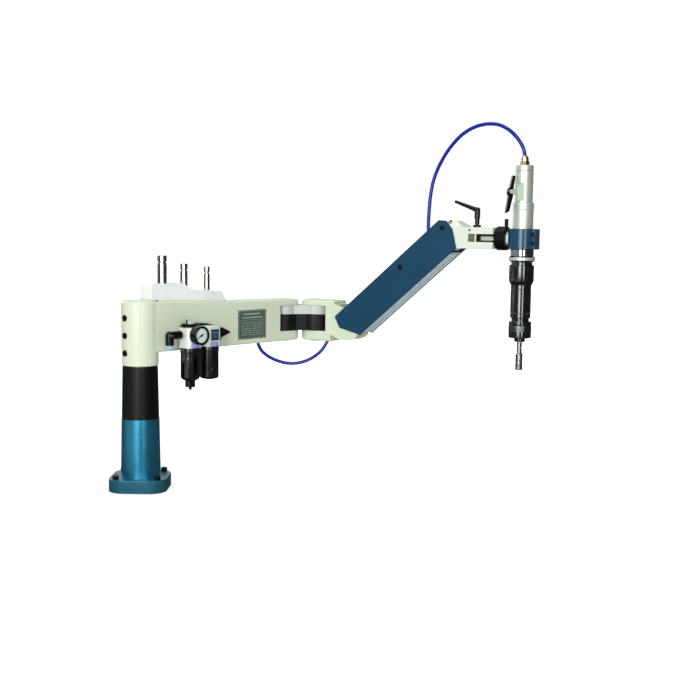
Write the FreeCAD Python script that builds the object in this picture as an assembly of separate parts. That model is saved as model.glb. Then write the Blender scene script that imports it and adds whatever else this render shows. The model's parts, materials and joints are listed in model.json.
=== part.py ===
"""Arm tapping machine: a column, a cast swing arm, a two-pin elbow link, a gas-sprung
parallelogram arm under blue covers, and a tilting head that carries an air tapping motor.

World frame, millimetres: the origin is on the column's axis in the flange's bottom face, +Z up.
Each body is drawn in a frame of its own, x along its arm, -y on its near side, and set in place.
"""
import FreeCAD, Part
import math
import os

# ---------------------------------------------------------------- fits
RUN = 0.05          # radial clearance of a pin or shaft that turns in its bore
GAP = 0.4           # gap between the faces of pieces that move past each other
SLIP = 0.3          # gap round a piece that drops into a pocket

# ---------------------------------------------------------------- pose of the arms
ARM1_YAW = 47.0     # swing arm, degrees from +X
LINK_YAW = 7.5      # elbow link
ARM2_YAW = -30.0    # parallelogram arm and head
LIFT_ANGLE = 40.67  # parallelogram above the horizontal

# ---------------------------------------------------------------- base and column
FLANGE_SIDE = 121.0
FLANGE_CORNER_R = 34.0
FLANGE_T = 27.0
FLANGE_SHIFT = -1.5         # the plate stands further out on the left
MOUNT_PCD = 102.0
MOUNT_HOLE_R = 4.5
LEVEL_SCREW_AT = 43.5       # levelling screws, from the plate's centre, both ways
LEVEL_SCREW_R = 4.0
LEVEL_HEAD_R = 6.5
LEVEL_HEAD_H = 8.0
COLUMN_FOOT_R = 41.6
COLUMN_TOP_R = 39.4
COLUMN_H = 123.0
SLEEVE_FOOT_R = 38.8
SLEEVE_TOP_R = 36.8
SLEEVE_H = 110.0
SLEEVE_BORE_R = 24.0
SPINDLE_R = 17.5
SPINDLE_FOOT_Z = 6.0
NUT_AF = 46.0
NUT_H = 8.0

# ---------------------------------------------------------------- swing arm
BUSH_FLANGE_T = 2.0
BUSH_R = 23.0
BUSH_L = 34.0
HUB_R = 38.4
HUB_H = 133.0
CAP_R = 34.0
CAP_T = 4.5
PLUG_R = 6.5
PLUG_ANGLE = -131.6         # direction of the row of hub plugs, degrees from +X
PLUG_PITCH = 36.5
ARM1_L = 414.0              # column axis to inner elbow pin
ARM1_W_HUB = 72.0
FORK_W = 68.0
ARM1_BOTTOM_Z = 289.3
ARM1_TOP_HUB_Z = 398.0
ARM1_TOP_MID_Z = 387.3
ARM1_MID_X = 216.0
FORK_TOP_Z = 384.0
ARM_WALL = 7.0
CAST_R = 5.0                # rounding of the castings' long edges
SLOT_LOW_Z = 312.3
SLOT_HIGH_Z = 371.5
SLOT_REACH = 43.0           # slot wall behind each elbow pin
HOSE_D = 8.0
ARM_HOSE_X = 331.0          # hose hole in the arm's underside
KNUCKLE_HOSE_X = 43.0       # hose hole in the knuckle's underside
KNUCKLE_HOSE_Y = -19.0
HOSE_ROOM = 1.0             # clearance round a hose in its hole

# ---------------------------------------------------------------- elbow link
PIN_PITCH = 77.0
ELBOW_PIN_R = 10.0
ELBOW_BUSH_R = 13.0
LINK_R = 38.2
LINK_WAIST = 27.0           # half width between the two round ends
PLATE_T = 20.5              # bright top plate

# ---------------------------------------------------------------- parallelogram arm
KNUCKLE_TAPER_END = 65.0    # the knuckle narrows to here, where its cheeks start
KNUCKLE_NOTCH_X = 55.0      # front of the notch in its underside
NOTCH_DROP = 37.0           # the notch's roof below the upper link pivot
PIVOT_X = 91.0              # outer elbow pin to the knuckle's link pivots
PIVOT_Z = 342.8             # upper link pivot
PIVOT_PITCH = 36.0          # upper to lower link pivot
LINK_L = 324.7
LINK_PIN_R = 6.0
LINK_PIN_END = 25.2         # the pins end inside the cheeks, under a skin
BAR_HALF_H = 9.0
EYE_R = 11.0
BAR_IN = 13.0               # across the arm: bars from BAR_IN to BAR_OUT
BAR_OUT = 20.0
CHEEK_OUT = 27.0            # cheeks of knuckle and head, outside the bars
COVER_T = 2.5
COVER_TOP = 19.3            # cover above the link line
COVER_LOW = 54.2            # cover below the link line
COVER_SCREW_U = 190.6
COVER_SCREW_R = 5.6
UNDERSIDE_START = 18.0
UNDERSIDE_END = 20.0        # short of the head pivot
LIP_START = 74.0
LIP_END = 52.0
UPPER_HOSE_U = 278.0        # hose hole through the covers' top seam
SPRING_DROP = 15.0          # gas spring anchor below the upper link pivot
SPRING_REACH = 200.0        # gas spring pin along the upper link
SPRING_TUBE_R = 9.0
SPRING_ROD_R = 4.0
SPRING_PIN_R = 4.0
SPRING_ROD_OUT = 78.0       # rod's eye to the tube's mouth at rest
SPRING_PISTON_IN = 34.0     # piston to the tube's mouth at rest
SPRING_EYE_SLACK = 3.3      # the rod's eye is open: it takes up the spring's true arc

# ---------------------------------------------------------------- head
HEAD_WEB = 16.0             # head pivot to the solid of the head
HEAD_RIDGE_L = 26.7         # head pivot to the end of the ridge
HEAD_BLOCK_L = 46.7         # head pivot to the foot of the slope under the ridge
HEAD_DROP = 42.9            # underside below the head pivot
HEAD_FACE_RISE = 3.1        # top face above the head pivot
HEAD_RIDGE_H = 13.5         # ridge above the top face
BRACKET_L = 116.7           # head pivot to the bracket's front face
TILT_DROP = 19.9            # tilt axis below the head pivot
TILT_R = 14.0
SHAFT_IN = 49.5             # depth of the tilt shaft's bore
JAW_SLOT_L = 57.0
JAW_SLOT_H = 17.0
LEVER_BACK = 40.0           # clamp lever behind the bracket's front face
LEVER_OUT = 18.5            # clamp lever to the near side of the tilt shaft
LEVER_STUD_R = 3.0
LEVER_BOSS_R = 8.3
LEVER_STEM_R = 4.0
LEVER_GRIP_R = 6.2
LEVER_CROWN_H = 36.0        # the handle's root above the top face
HANDLE_REACH = 51.0
HANDLE_RISE = 18.0
HANDLE_R = 5.2
HANDLE_TIP_R = 3.1
RING_R = 25.4
RING_L = 24.5
INDEX_PIN_R = 4.0
INDEX_STEM_R = 2.4
INDEX_PIN_OUT = 16.0
INDEX_PIN_BACK = 4.8        # index pin behind the ring's front face
NECK_R = 15.6
NECK_SHOWN = 4.0            # bright neck between the ring and the motor clamp
CLAMP_FLAT = 28.05          # tapping axis to the clamp's back face

# ---------------------------------------------------------------- tapping motor and chuck
CLAMP_R = 31.0
CLAMP_DROP = 22.1           # underside of the clamp below the tilt axis
CLAMP_H = 43.0
CLAMP_EAR = 33.5
CLAMP_EAR_HALF = 14.0
BARREL_R = 21.6
BARREL_SHOWN = 39.9         # barrel between the clamp and its ring band
BAND_R = 22.2
BAND_H = 14.7
MOTOR_HEAD_R = 19.2
MOTOR_HEAD_H = 78.3
FLAT_UP = 4.0               # flat of the motor head above the band
FLAT_H = 36.7
FITTING_R = 10.5
FITTING_HEX_H = 8.0
FITTING_CROWN_H = 7.5
FITTING_TIP_H = 4.0
FITTING_BORE_L = 11.1
LEVER_PIVOT_UP = 23.0       # throttle pivot above the band
LEVER_PIN_R = 1.6
LEVER_PIVOT_R = 31.5        # throttle pivot from the motor's axis
THROTTLE_ANGLE = 198.0      # direction of the throttle lever round the motor, degrees from +X
NUT_R = 24.7
NUT_L = 26.7
NUT_FLARE_R = 27.5
NUT_FLARE_L = 12.7
CHUCK_NECK_R = 22.5
CHUCK_NECK_L = 6.3
CHUCK_SLEEVE_R = 26.3
CHUCK_SLEEVE_L = 34.0
SLEEVE_CONE_L = 8.4
CHUCK_R = 21.6
CHUCK_L = 70.5
CHUCK_WAIST_L = 6.9         # narrow stretch above the collar
COLLAR_R = 24.0
COLLAR_L = 35.6
COLLAR_WALL = 5.5
COLLAR_LIP = 3.0            # inward lip at the collar's foot
COLLAR_TRAVEL = 5.0
NOSE_R = 11.6
NOSE_L = 8.6                # nose below the collar
ADAPTER_SHANK_R = 5.3
ADAPTER_SOCKET_R = 7.6
ADAPTER_NECK_L = 23.4       # shank seen between the nose and the socket
ADAPTER_SOCKET_L = 37.5
TAP_SHANK_R = 3.55
TAP_DEPTH = 22.0

# ---------------------------------------------------------------- air unit on the swing arm
UNIT_X = 84.5               # filter regulator's axis along the arm
UNIT_PITCH = 52.0
UNIT_W = 40.0
UNIT_D = 40.0
UNIT_CORNER_R = 12.0
UNIT_STAND = 4.5            # bracket spacer between arm and unit
UNIT_NECK = 1.2             # neck under the pressure knob
UNIT_LOW_Z = 297.5
UNIT_TOP_Z = 340.0
BOWL_R = 20.2
BOWL_SOCKET_R = 13.0        # bowl socket in each body's underside
FILTER_LOW_Z = 227.5
LUBRICATOR_LOW_Z = 226.5
RING_H = 12.0               # lock ring seen in each body's lower window
RING_WINDOW_HALF = 12.0
RING_LOCK_R = 18.4
BAND_STEP = 0.7             # guard's upper band outside its wall
TAIL_R = 10.5               # drain tail under the filter guard
SIGHT_HALF = 11.0           # lubricator's sight pocket
SIGHT_LOW = 13.5            # its lower edge above the body's foot
SIGHT_H = 23.0
KNOB_R = 17.6
KNOB_SKIRT_H = 6.6
KNOB_DOME_R = 11.0
KNOB_DOME_H = 6.0
KNOB_PIN_R = 1.3
KNOB_PIN_H = 9.0
GAUGE_R = 20.0
GAUGE_L = 18.0
GAUGE_RIM = 4.0
GAUGE_Z = 325.5
INLET_X = 30.5              # the inlet elbow's mouth
INLET_Z = 326.0
INLET_R = 9.3
INLET_LOW_Z = 306.0
INLET_NUT_L = 6.5
RELEASE_R = 6.0
RELEASE_TRAVEL = 1.2
RELEASE_RIM = 6.5
PLATE_X = 241.0
PLATE_W = 84.0
PLATE_LOW_Z = 301.5
PLATE_H = 65.0
BRACKET_T = 3.0

# ---------------------------------------------------------------- tray and tap adapters
TRAY_HALF_W = 20.0
TRAY_START = 16.0           # the tray reaches over the hub cap
ADAPTER_SINK = 24.0
ADAPTERS = (("tap_adapter_large", 58.5, 10.0, 59.2, 6.2),
            ("tap_adapter_medium", 117.0, 8.0, 51.4, 4.6),
            ("tap_adapter_small", 180.5, 6.4, 51.5, 3.5))


# ---------------------------------------------------------------- helpers
def vec(x, y, z):
    return FreeCAD.Vector(x, y, z)


def turned(axis, degrees):
    return FreeCAD.Rotation(axis, degrees)


def moved(x=0.0, y=0.0, z=0.0, yaw=0.0):
    return FreeCAD.Placement(vec(x, y, z), turned(vec(0, 0, 1), yaw))


def put(shape, placement):
    out = shape.copy()
    out.Placement = placement.multiply(out.Placement)
    return out


def cylinder(radius, start, end):
    """A cylinder from point start to point end."""
    a, b = vec(*start), vec(*end)
    return Part.makeCylinder(radius, (b - a).Length, a, b - a)


def cone(radius_start, radius_end, start, end):
    a, b = vec(*start), vec(*end)
    return Part.makeCone(radius_start, radius_end, (b - a).Length, a, b - a)


def upright(radius, low, high, x=0.0, y=0.0):
    return cylinder(radius, (x, y, low), (x, y, high))


def across(radius, half, x, z, start=None):
    """A cylinder along y from start (default -half) to half."""
    return cylinder(radius, (x, -half if start is None else start, z), (x, half, z))


def box(x0, x1, y0, y1, z0, z1):
    return Part.makeBox(x1 - x0, y1 - y0, z1 - z0, vec(x0, y0, z0))


def outline(points):
    """A closed wire through (x, y) or (x, y, radius) points, with arcs at the radii, in the XY plane."""
    count = len(points)
    ends = []
    for i, point in enumerate(points):
        here = vec(point[0], point[1], 0)
        radius = point[2] if len(point) > 2 else 0.0
        if not radius:
            ends.append((here, here, None))
            continue
        before = vec(*points[i - 1][:2], 0) - here
        after = vec(*points[(i + 1) % count][:2], 0) - here
        before.normalize()
        after.normalize()
        half = before.getAngle(after) / 2
        reach = radius / math.tan(half)
        middle = before + after
        middle.normalize()
        mid = here + middle * (radius / math.sin(half) - radius)
        ends.append((here + before * reach, here + after * reach, mid))
    edges = []
    for i, (arrive, leave, mid) in enumerate(ends):
        if mid is not None:
            edges.append(Part.Arc(arrive, mid, leave).toShape())
        following = ends[(i + 1) % count][0]
        if (following - leave).Length > 1e-6:
            edges.append(Part.LineSegment(leave, following).toShape())
    return Part.Wire(edges)


def slab(points, low, high):
    """The outline in XY, from z low to z high."""
    return Part.Face(outline(points)).extrude(vec(0, 0, high - low)).translated(vec(0, 0, low))


def side_plate(points, y0, y1):
    """The outline drawn in XZ, from y0 to y1."""
    flat = Part.Face(outline(points)).extrude(vec(0, 0, y1 - y0)).translated(vec(0, 0, -y1))
    flat.Placement = FreeCAD.Placement(vec(0, 0, 0), turned(vec(1, 0, 0), 90)).multiply(flat.Placement)
    return flat


def lathe(profile, x=0.0, y=0.0):
    """Points (radius, z) turned about the vertical through x, y."""
    points = [vec(r, 0, z) for r, z in profile]
    face = Part.Face(Part.makePolygon(points + points[:1]))
    return face.revolve(vec(0, 0, 0), vec(0, 0, 1), 360).translated(vec(x, y, 0))


def hexagon(across_flats, low, high, x=0.0, y=0.0):
    corner = across_flats / math.sqrt(3)
    points = [(x + corner * math.cos(math.radians(60 * k)), y + corner * math.sin(math.radians(60 * k)))
              for k in range(6)]
    return slab(points, low, high)


def union(first, *rest):
    return first.fuse(list(rest)).removeSplitter()


def rounded(shape, radius, choose):
    """The shape with the edges that choose(edge) picks rounded."""
    return shape.makeFillet(radius, [e for e in shape.Edges if choose(e)])


def runs_along(edge, direction, least):
    """A straight edge along direction and at least that long."""
    ends = [v.Point for v in edge.Vertexes]
    if len(ends) != 2 or edge.Curve.TypeId != "Part::GeomLine":
        return False
    run = ends[1] - ends[0]
    return run.Length >= least and abs(run.dot(vec(*direction))) > 0.97 * run.Length


def cap_screw(head_r, head_h, shank_r, length):
    """A socket cap screw along +Z: its head stands on z = 0 and its shank reaches down."""
    head = upright(head_r, 0, head_h)
    socket = hexagon(head_r * 0.95, head_h * 0.45, head_h + 1)
    return union(head.cut(socket), upright(shank_r, -length, 0))


def pointing(axis, at):
    """The placement that turns +Z to axis and moves the origin to at."""
    return FreeCAD.Placement(vec(*at), turned(vec(0, 0, 1), 0)).multiply(
        FreeCAD.Placement(vec(0, 0, 0), FreeCAD.Rotation(vec(0, 0, 1), vec(*axis))))


# ---------------------------------------------------------------- frames of the bodies at rest
def direction(yaw):
    return vec(math.cos(math.radians(yaw)), math.sin(math.radians(yaw)), 0)


INNER_PIN = direction(ARM1_YAW) * ARM1_L
OUTER_PIN = INNER_PIN + direction(LINK_YAW) * PIN_PITCH
BASE = moved()
ARM1 = moved(yaw=ARM1_YAW)
LINK = moved(INNER_PIN.x, INNER_PIN.y, 0, LINK_YAW)
ARM2 = moved(OUTER_PIN.x, OUTER_PIN.y, 0, ARM2_YAW)


def raised(x, z):
    """A frame in the arm's vertical plane at x, z, with its own x along the raised links."""
    return ARM2.multiply(FreeCAD.Placement(vec(x, 0, z), turned(vec(0, 1, 0), -LIFT_ANGLE)))


UPPER = raised(PIVOT_X, PIVOT_Z)
LOWER = raised(PIVOT_X, PIVOT_Z - PIVOT_PITCH)
LIFT_RUN = LINK_L * math.cos(math.radians(LIFT_ANGLE))
LIFT_RISE = LINK_L * math.sin(math.radians(LIFT_ANGLE))
HEAD_X = PIVOT_X + LIFT_RUN
HEAD_Z = PIVOT_Z + LIFT_RISE
HEAD_LOW_Z = HEAD_Z - HEAD_DROP
HEAD_FACE_Z = HEAD_Z + HEAD_FACE_RISE
HEAD_RIDGE_Z = HEAD_FACE_Z + HEAD_RIDGE_H
HEAD_BLOCK_END = HEAD_X + HEAD_BLOCK_L
BRACKET_END = HEAD_X + BRACKET_L
LEVER_X = BRACKET_END - LEVER_BACK
SHAFT_START = BRACKET_END - SHAFT_IN
TILT_Z = HEAD_Z - TILT_DROP
RING_START = BRACKET_END + RUN
RING_FRONT = RING_START + RING_L
CLAMP_START = RING_FRONT + GAP + NECK_SHOWN
TOOL_X = CLAMP_START + CLAMP_FLAT       # outer elbow pin to the tapping axis
TOOL = ARM2.multiply(moved(TOOL_X))
PLUMB = TOOL.multiply(moved(yaw=-ARM2_YAW))      # the tool's axis with world directions

COLUMN_TOP_Z = FLANGE_T + COLUMN_H
SLEEVE_TOP_Z = COLUMN_TOP_Z + SLEEVE_H
HUB_LOW_Z = SLEEVE_TOP_Z + BUSH_FLANGE_T
HUB_TOP_Z = HUB_LOW_Z + HUB_H
ARM1_HALF = ARM1_W_HUB / 2
FORK_HALF = FORK_W / 2

# heights along the tapping axis, from the clamp up and down
CLAMP_LOW_Z = TILT_Z - CLAMP_DROP
CLAMP_HIGH_Z = CLAMP_LOW_Z + CLAMP_H
BAND_LOW_Z = CLAMP_HIGH_Z + BARREL_SHOWN
BAND_HIGH_Z = BAND_LOW_Z + BAND_H
MOTOR_TOP_Z = BAND_HIGH_Z + MOTOR_HEAD_H
FITTING_TIP_Z = MOTOR_TOP_Z + FITTING_HEX_H + FITTING_CROWN_H
FITTING_TOP_Z = FITTING_TIP_Z + FITTING_TIP_H
LEVER_PIVOT_Z = BAND_HIGH_Z + LEVER_PIVOT_UP
NUT_LOW_Z = CLAMP_LOW_Z - NUT_L
SLEEVE_HIGH_Z = NUT_LOW_Z - CHUCK_NECK_L
SLEEVE_LOW_Z = SLEEVE_HIGH_Z - CHUCK_SLEEVE_L
SLEEVE_CONE_Z = SLEEVE_LOW_Z - SLEEVE_CONE_L
CHUCK_LOW_Z = SLEEVE_CONE_Z - CHUCK_L
COLLAR_HIGH_Z = CHUCK_LOW_Z - CHUCK_WAIST_L
COLLAR_LOW_Z = COLLAR_HIGH_Z - COLLAR_L
NOSE_LOW_Z = COLLAR_LOW_Z - NOSE_L
ADAPTER_STEP_Z = NOSE_LOW_Z - ADAPTER_NECK_L
ADAPTER_LOW_Z = ADAPTER_STEP_Z - ADAPTER_SOCKET_L

NODES = {}


def keep(name, shape, frame):
    NODES[name] = put(shape, frame)


# ---------------------------------------------------------------- base and column
def base_flange():
    half = FLANGE_SIDE / 2
    corners = [(FLANGE_SHIFT + sx * half, sy * half, FLANGE_CORNER_R)
               for sx, sy in ((-1, -1), (1, -1), (1, 1), (-1, 1))]
    plate = slab(corners, 0, FLANGE_T)
    plate = rounded(plate, 2.0, lambda e: min(v.Point.z for v in e.Vertexes) > FLANGE_T - 0.01)
    holes = [upright(MOUNT_HOLE_R, -1, FLANGE_T + 1, MOUNT_PCD / 2 * math.cos(math.radians(90 * k)),
                     MOUNT_PCD / 2 * math.sin(math.radians(90 * k))) for k in range(4)]
    holes += [upright(LEVEL_SCREW_R, -1, FLANGE_T + 1, x, y) for x, y in levelling_places()]
    holes.append(upright(SPINDLE_R, SPINDLE_FOOT_Z, FLANGE_T + 1))
    return plate.cut(holes)


def levelling_places():
    return [(FLANGE_SHIFT + sx * LEVEL_SCREW_AT, sy * LEVEL_SCREW_AT) for sx in (-1, 1) for sy in (-1, 1)]


def levelling_screws():
    screw = cap_screw(LEVEL_HEAD_R, LEVEL_HEAD_H, LEVEL_SCREW_R, FLANGE_T - 1.0)
    return Part.makeCompound([put(screw, moved(x, y, FLANGE_T)) for x, y in levelling_places()])


def column():
    body = cone(COLUMN_FOOT_R, COLUMN_TOP_R, (0, 0, FLANGE_T), (0, 0, COLUMN_TOP_Z))
    return body.cut(upright(SPINDLE_R, FLANGE_T - 1, COLUMN_TOP_Z + 1))


def column_sleeve():
    body = cone(SLEEVE_FOOT_R, SLEEVE_TOP_R, (0, 0, COLUMN_TOP_Z), (0, 0, SLEEVE_TOP_Z))
    return body.cut(upright(SLEEVE_BORE_R, COLUMN_TOP_Z - 1, SLEEVE_TOP_Z + 1))


NUT_Z = HUB_TOP_Z - CAP_T - 3.0 - NUT_H          # underside of the spindle's lock nut


def main_spindle():
    stub_r = SPINDLE_R - 3.5
    return union(upright(SPINDLE_R, SPINDLE_FOOT_Z, NUT_Z), upright(stub_r, NUT_Z, NUT_Z + NUT_H + 1.5))


def spindle_nut():
    return hexagon(NUT_AF, NUT_Z, NUT_Z + NUT_H).cut(upright(SPINDLE_R - 3.5, NUT_Z - 1, NUT_Z + NUT_H + 1))


# ---------------------------------------------------------------- swing arm
def hub_bushes():
    """Two flanged bushes on the spindle; the lower one's flange carries the arm on the sleeve."""
    bore = upright(SPINDLE_R + RUN, SLEEVE_TOP_Z - 1, HUB_TOP_Z)
    flange_r = SLEEVE_BORE_R + 5.0
    lower = union(upright(BUSH_R, HUB_LOW_Z, HUB_LOW_Z + BUSH_L),
                  upright(flange_r, SLEEVE_TOP_Z + 0.05, HUB_LOW_Z))
    high = NUT_Z - 0.3
    upper = upright(BUSH_R, high - BUSH_L, high)
    return Part.makeCompound([lower.cut(bore), upper.cut(bore)])


def swing_arm_beam():
    tip = ARM1_L + FORK_HALF
    sides = [(0, ARM1_BOTTOM_Z), (tip + 5, ARM1_BOTTOM_Z), (tip + 5, FORK_TOP_Z),
             (ARM1_MID_X, ARM1_TOP_MID_Z), (HUB_R / 2, ARM1_TOP_HUB_Z), (0, ARM1_TOP_HUB_Z)]
    plan = Part.Face(Part.Wire([
        Part.LineSegment(vec(0, -ARM1_HALF, 0), vec(ARM1_L, -FORK_HALF, 0)).toShape(),
        Part.Arc(vec(ARM1_L, -FORK_HALF, 0), vec(tip, 0, 0), vec(ARM1_L, FORK_HALF, 0)).toShape(),
        Part.LineSegment(vec(ARM1_L, FORK_HALF, 0), vec(0, ARM1_HALF, 0)).toShape(),
        Part.LineSegment(vec(0, ARM1_HALF, 0), vec(0, -ARM1_HALF, 0)).toShape()]))
    block = plan.extrude(vec(0, 0, HUB_TOP_Z))
    beam = side_plate(sides, -ARM1_HALF - 5, ARM1_HALF + 5).common(block)
    return rounded(beam, CAST_R, lambda e: runs_along(e, (1, 0, 0), 100)
                   or e.Curve.TypeId == "Part::GeomCircle" and e.Length > 60)


def fork_slot(reach, tip):
    """The gap between a fork's lobes, round the pin at x = 0; the solid is on the side of -reach."""
    return box(min(-reach, tip), max(-reach, tip), -60, 60, SLOT_LOW_Z, SLOT_HIGH_Z)


def first_arm():
    hub = rounded(upright(HUB_R, HUB_LOW_Z, HUB_TOP_Z), 3.0, lambda e: e.Length > 200)
    solid = union(hub, swing_arm_beam())
    inner = ARM1_HALF - ARM_WALL
    start = HUB_R + 12
    end = ARM1_L - SLOT_REACH - 12
    cavity = side_plate([(start, ARM1_BOTTOM_Z + ARM_WALL), (end, ARM1_BOTTOM_Z + ARM_WALL),
                         (end, FORK_TOP_Z - ARM_WALL - 3), (ARM1_MID_X, ARM1_TOP_MID_Z - ARM_WALL - 3),
                         (start, ARM1_TOP_HUB_Z - ARM_WALL - 8)], -inner, inner)
    cuts = [cavity,
            upright(BUSH_R, HUB_LOW_Z - 1, HUB_TOP_Z + 1),
            upright(CAP_R - 4, NUT_Z, HUB_TOP_Z + 1),
            upright(CAP_R, HUB_TOP_Z - CAP_T / 2, HUB_TOP_Z + 1),
            box(ARM1_L - SLOT_REACH, ARM1_L + FORK_HALF + 9, -60, 60, SLOT_LOW_Z, SLOT_HIGH_Z),
            upright(ELBOW_PIN_R, ARM1_BOTTOM_Z - 1, FORK_TOP_Z + 1, ARM1_L),
            upright(HOSE_D / 2 + HOSE_ROOM, ARM1_BOTTOM_Z - 1, ARM1_BOTTOM_Z + ARM_WALL + 1, ARM_HOSE_X)]
    for x, y, z in unit_screw_places():
        cuts.append(cylinder(2.5, (x, y - 1, z), (x, y + ARM_WALL - 1, z)))
    solid = solid.cut(cuts)
    for place in plug_places():
        solid = solid.cut(put(upright(PLUG_R - 1.5, -9, 1), place))
    for _, x, radius, _, _ in ADAPTERS:
        solid = solid.cut(upright(radius, tray_top(x) - ADAPTER_SINK, HUB_TOP_Z + 5, x))
    return solid


def plug_places():
    """Placements on the hub's skin, +Z outwards, in the arm's frame."""
    yaw = math.radians(PLUG_ANGLE - ARM1_YAW)
    out = (math.cos(yaw), math.sin(yaw), 0)
    middle = (HUB_LOW_Z + HUB_TOP_Z) / 2 - 3
    return [pointing(out, (HUB_R * out[0], HUB_R * out[1], middle + k * PLUG_PITCH)) for k in (-1, 0, 1)]


def hub_plugs():
    plug = union(upright(PLUG_R, 0, 2.5), upright(PLUG_R - 1.5, -8, 0)).cut(hexagon(6, 0.5, 3))
    return Part.makeCompound([put(plug, place) for place in plug_places()])


def hub_cap():
    low = HUB_TOP_Z - CAP_T / 2
    disc = rounded(upright(CAP_R - 0.1, low, low + CAP_T), 1.5,
                   lambda e: min(v.Point.z for v in e.Vertexes) > low + CAP_T - 0.01)
    return disc.cut([upright(1.8, low - 1, low + CAP_T + 1, 27 * math.cos(a), 27 * math.sin(a))
                     for a in (0.9, 0.9 + math.pi)])


TRAY_TOP = ((TRAY_START, ARM1_TOP_HUB_Z + 32.0), (100.0, ARM1_TOP_HUB_Z + 33.0),
            (122.0, ARM1_TOP_HUB_Z + 19.5), (160.0, ARM1_TOP_HUB_Z + 16.5), (205.0, ARM1_TOP_HUB_Z + 13.0),
            (224.0, ARM1_TOP_HUB_Z - 7.0))


def tray_top(x):
    for (x0, z0), (x1, z1) in zip(TRAY_TOP, TRAY_TOP[1:]):
        if x0 <= x <= x1:
            return z0 + (z1 - z0) * (x - x0) / (x1 - x0)
    return TRAY_TOP[0][1]


def arm_top(x):
    """Height of the swing arm's top over x."""
    if x < ARM1_MID_X:
        x0, z0, x1, z1 = HUB_R / 2, ARM1_TOP_HUB_Z, ARM1_MID_X, ARM1_TOP_MID_Z
    else:
        x0, z0, x1, z1 = ARM1_MID_X, ARM1_TOP_MID_Z, ARM1_L + FORK_HALF + 5, FORK_TOP_Z
    return min(HUB_TOP_Z, z0 + (z1 - z0) * (x - x0) / (x1 - x0))


def tool_tray():
    """The wedge-shaped holder on the arm's top, with a pocket for each tap adapter."""
    end = TRAY_TOP[-1][0]
    past_cap = CAP_R + GAP
    cap_top = HUB_TOP_Z + CAP_T / 2
    drop = (HUB_TOP_Z - ARM1_TOP_MID_Z) / (ARM1_TOP_HUB_Z - ARM1_TOP_MID_Z)
    knee = ARM1_MID_X - drop * (ARM1_MID_X - HUB_R / 2)
    foot = [(TRAY_START, cap_top), (past_cap, cap_top), (past_cap, HUB_TOP_Z), (knee, HUB_TOP_Z),
            (ARM1_MID_X, ARM1_TOP_MID_Z), (end, arm_top(end))]
    points = foot + [(x, z, 4) for x, z in TRAY_TOP[-2::-1]]
    wedge = side_plate(points, -TRAY_HALF_W, TRAY_HALF_W)
    return wedge.cut([upright(radius + SLIP, tray_top(x) - ADAPTER_SINK, HUB_TOP_Z + 60, x)
                      for _, x, radius, _, _ in ADAPTERS])


def tap_adapter(x, radius, height, drive_r):
    """A quick-change tap adapter stood in the tray: body, locking groove and the tap's socket."""
    low = tray_top(x) - ADAPTER_SINK + 0.1
    top = tray_top(x) + height
    groove = top - 16
    body = upright(radius, low, top, x)
    body = rounded(body, 0.8, lambda e: e.Length > 30)
    ring = upright(radius + 1, groove, groove + 4, x).cut(upright(radius - 1.4, groove, groove + 4, x))
    return body.cut([ring, upright(drive_r, top - 20, top + 1, x)])


# ---------------------------------------------------------------- air unit
UNIT_BACK = -ARM1_HALF - UNIT_STAND
UNIT_Y = UNIT_BACK - UNIT_D / 2
UNIT2_X = UNIT_X + UNIT_PITCH
MIDDLE_X = UNIT_X + UNIT_PITCH / 2
GAUGE_BACK_Y = UNIT_Y - UNIT_D / 2 - 2.5
GAUGE_FACE_Y = GAUGE_BACK_Y - GAUGE_L
KNOB_PIN_AT = (UNIT_X - KNOB_R * 0.71, UNIT_Y - KNOB_R * 0.22)


def arm_skin(x):
    """y of the swing arm's near face over x."""
    return -(ARM1_HALF + (FORK_HALF - ARM1_HALF) * x / ARM1_L)


def unit_screw_places():
    return [(x, arm_skin(x), UNIT_TOP_Z + 4) for x in (UNIT_X + 16, UNIT2_X - 10)]


def frl_bracket():
    """The dark leaf-shaped plate behind the air unit, with two stand-offs."""
    x = UNIT_X
    z = UNIT_LOW_Z
    tip = UNIT2_X + 81.5
    leaf = [(x - 8.5, z + 4.5, 3), (tip - 34, z - 0.5, 4), (tip - 27, z + 13.5, 4), (tip, z + 23, 1.5),
            (tip - 24, z + 34, 8), (x + 65.5, z + 46, 14), (x + 27.5, z + 49.5, 10),
            (x - 6.5, z + 46, 4)]
    reach = -ARM1_HALF
    plate = side_plate(leaf, reach - BRACKET_T, arm_skin(tip))
    plate = plate.common(put(box(x - 25, tip + 12, -BRACKET_T, -0.02, z - 18, z + 63),
                             moved(0, reach, 0, math.degrees(math.atan2(ARM1_HALF - FORK_HALF, ARM1_L)))))
    feet = [box(x - 8, x + 8, UNIT_BACK, arm_skin(x) - 1, UNIT_LOW_Z + 4, UNIT_TOP_Z - 6)
            for x in (UNIT_X, UNIT2_X)]
    holes = [cylinder(2.7, (x, y - 30, z), (x, y + 5, z)) for x, y, z in unit_screw_places()]
    return union(plate, *feet).cut(holes)


def ring_window(x):
    """The arched opening in a body's front that shows its lock ring."""
    front = UNIT_Y - UNIT_D / 2
    arch_r = 2.2 * RING_WINDOW_HALF
    arch_z = UNIT_LOW_Z + RING_H - 0.5 - arch_r
    opening = box(x - RING_WINDOW_HALF, x + RING_WINDOW_HALF, front - 1, UNIT_Y - 8, UNIT_LOW_Z - 1,
                  UNIT_LOW_Z + RING_H)
    return opening.common(cylinder(arch_r, (x, front - 1, arch_z), (x, UNIT_Y, arch_z)))


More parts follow.
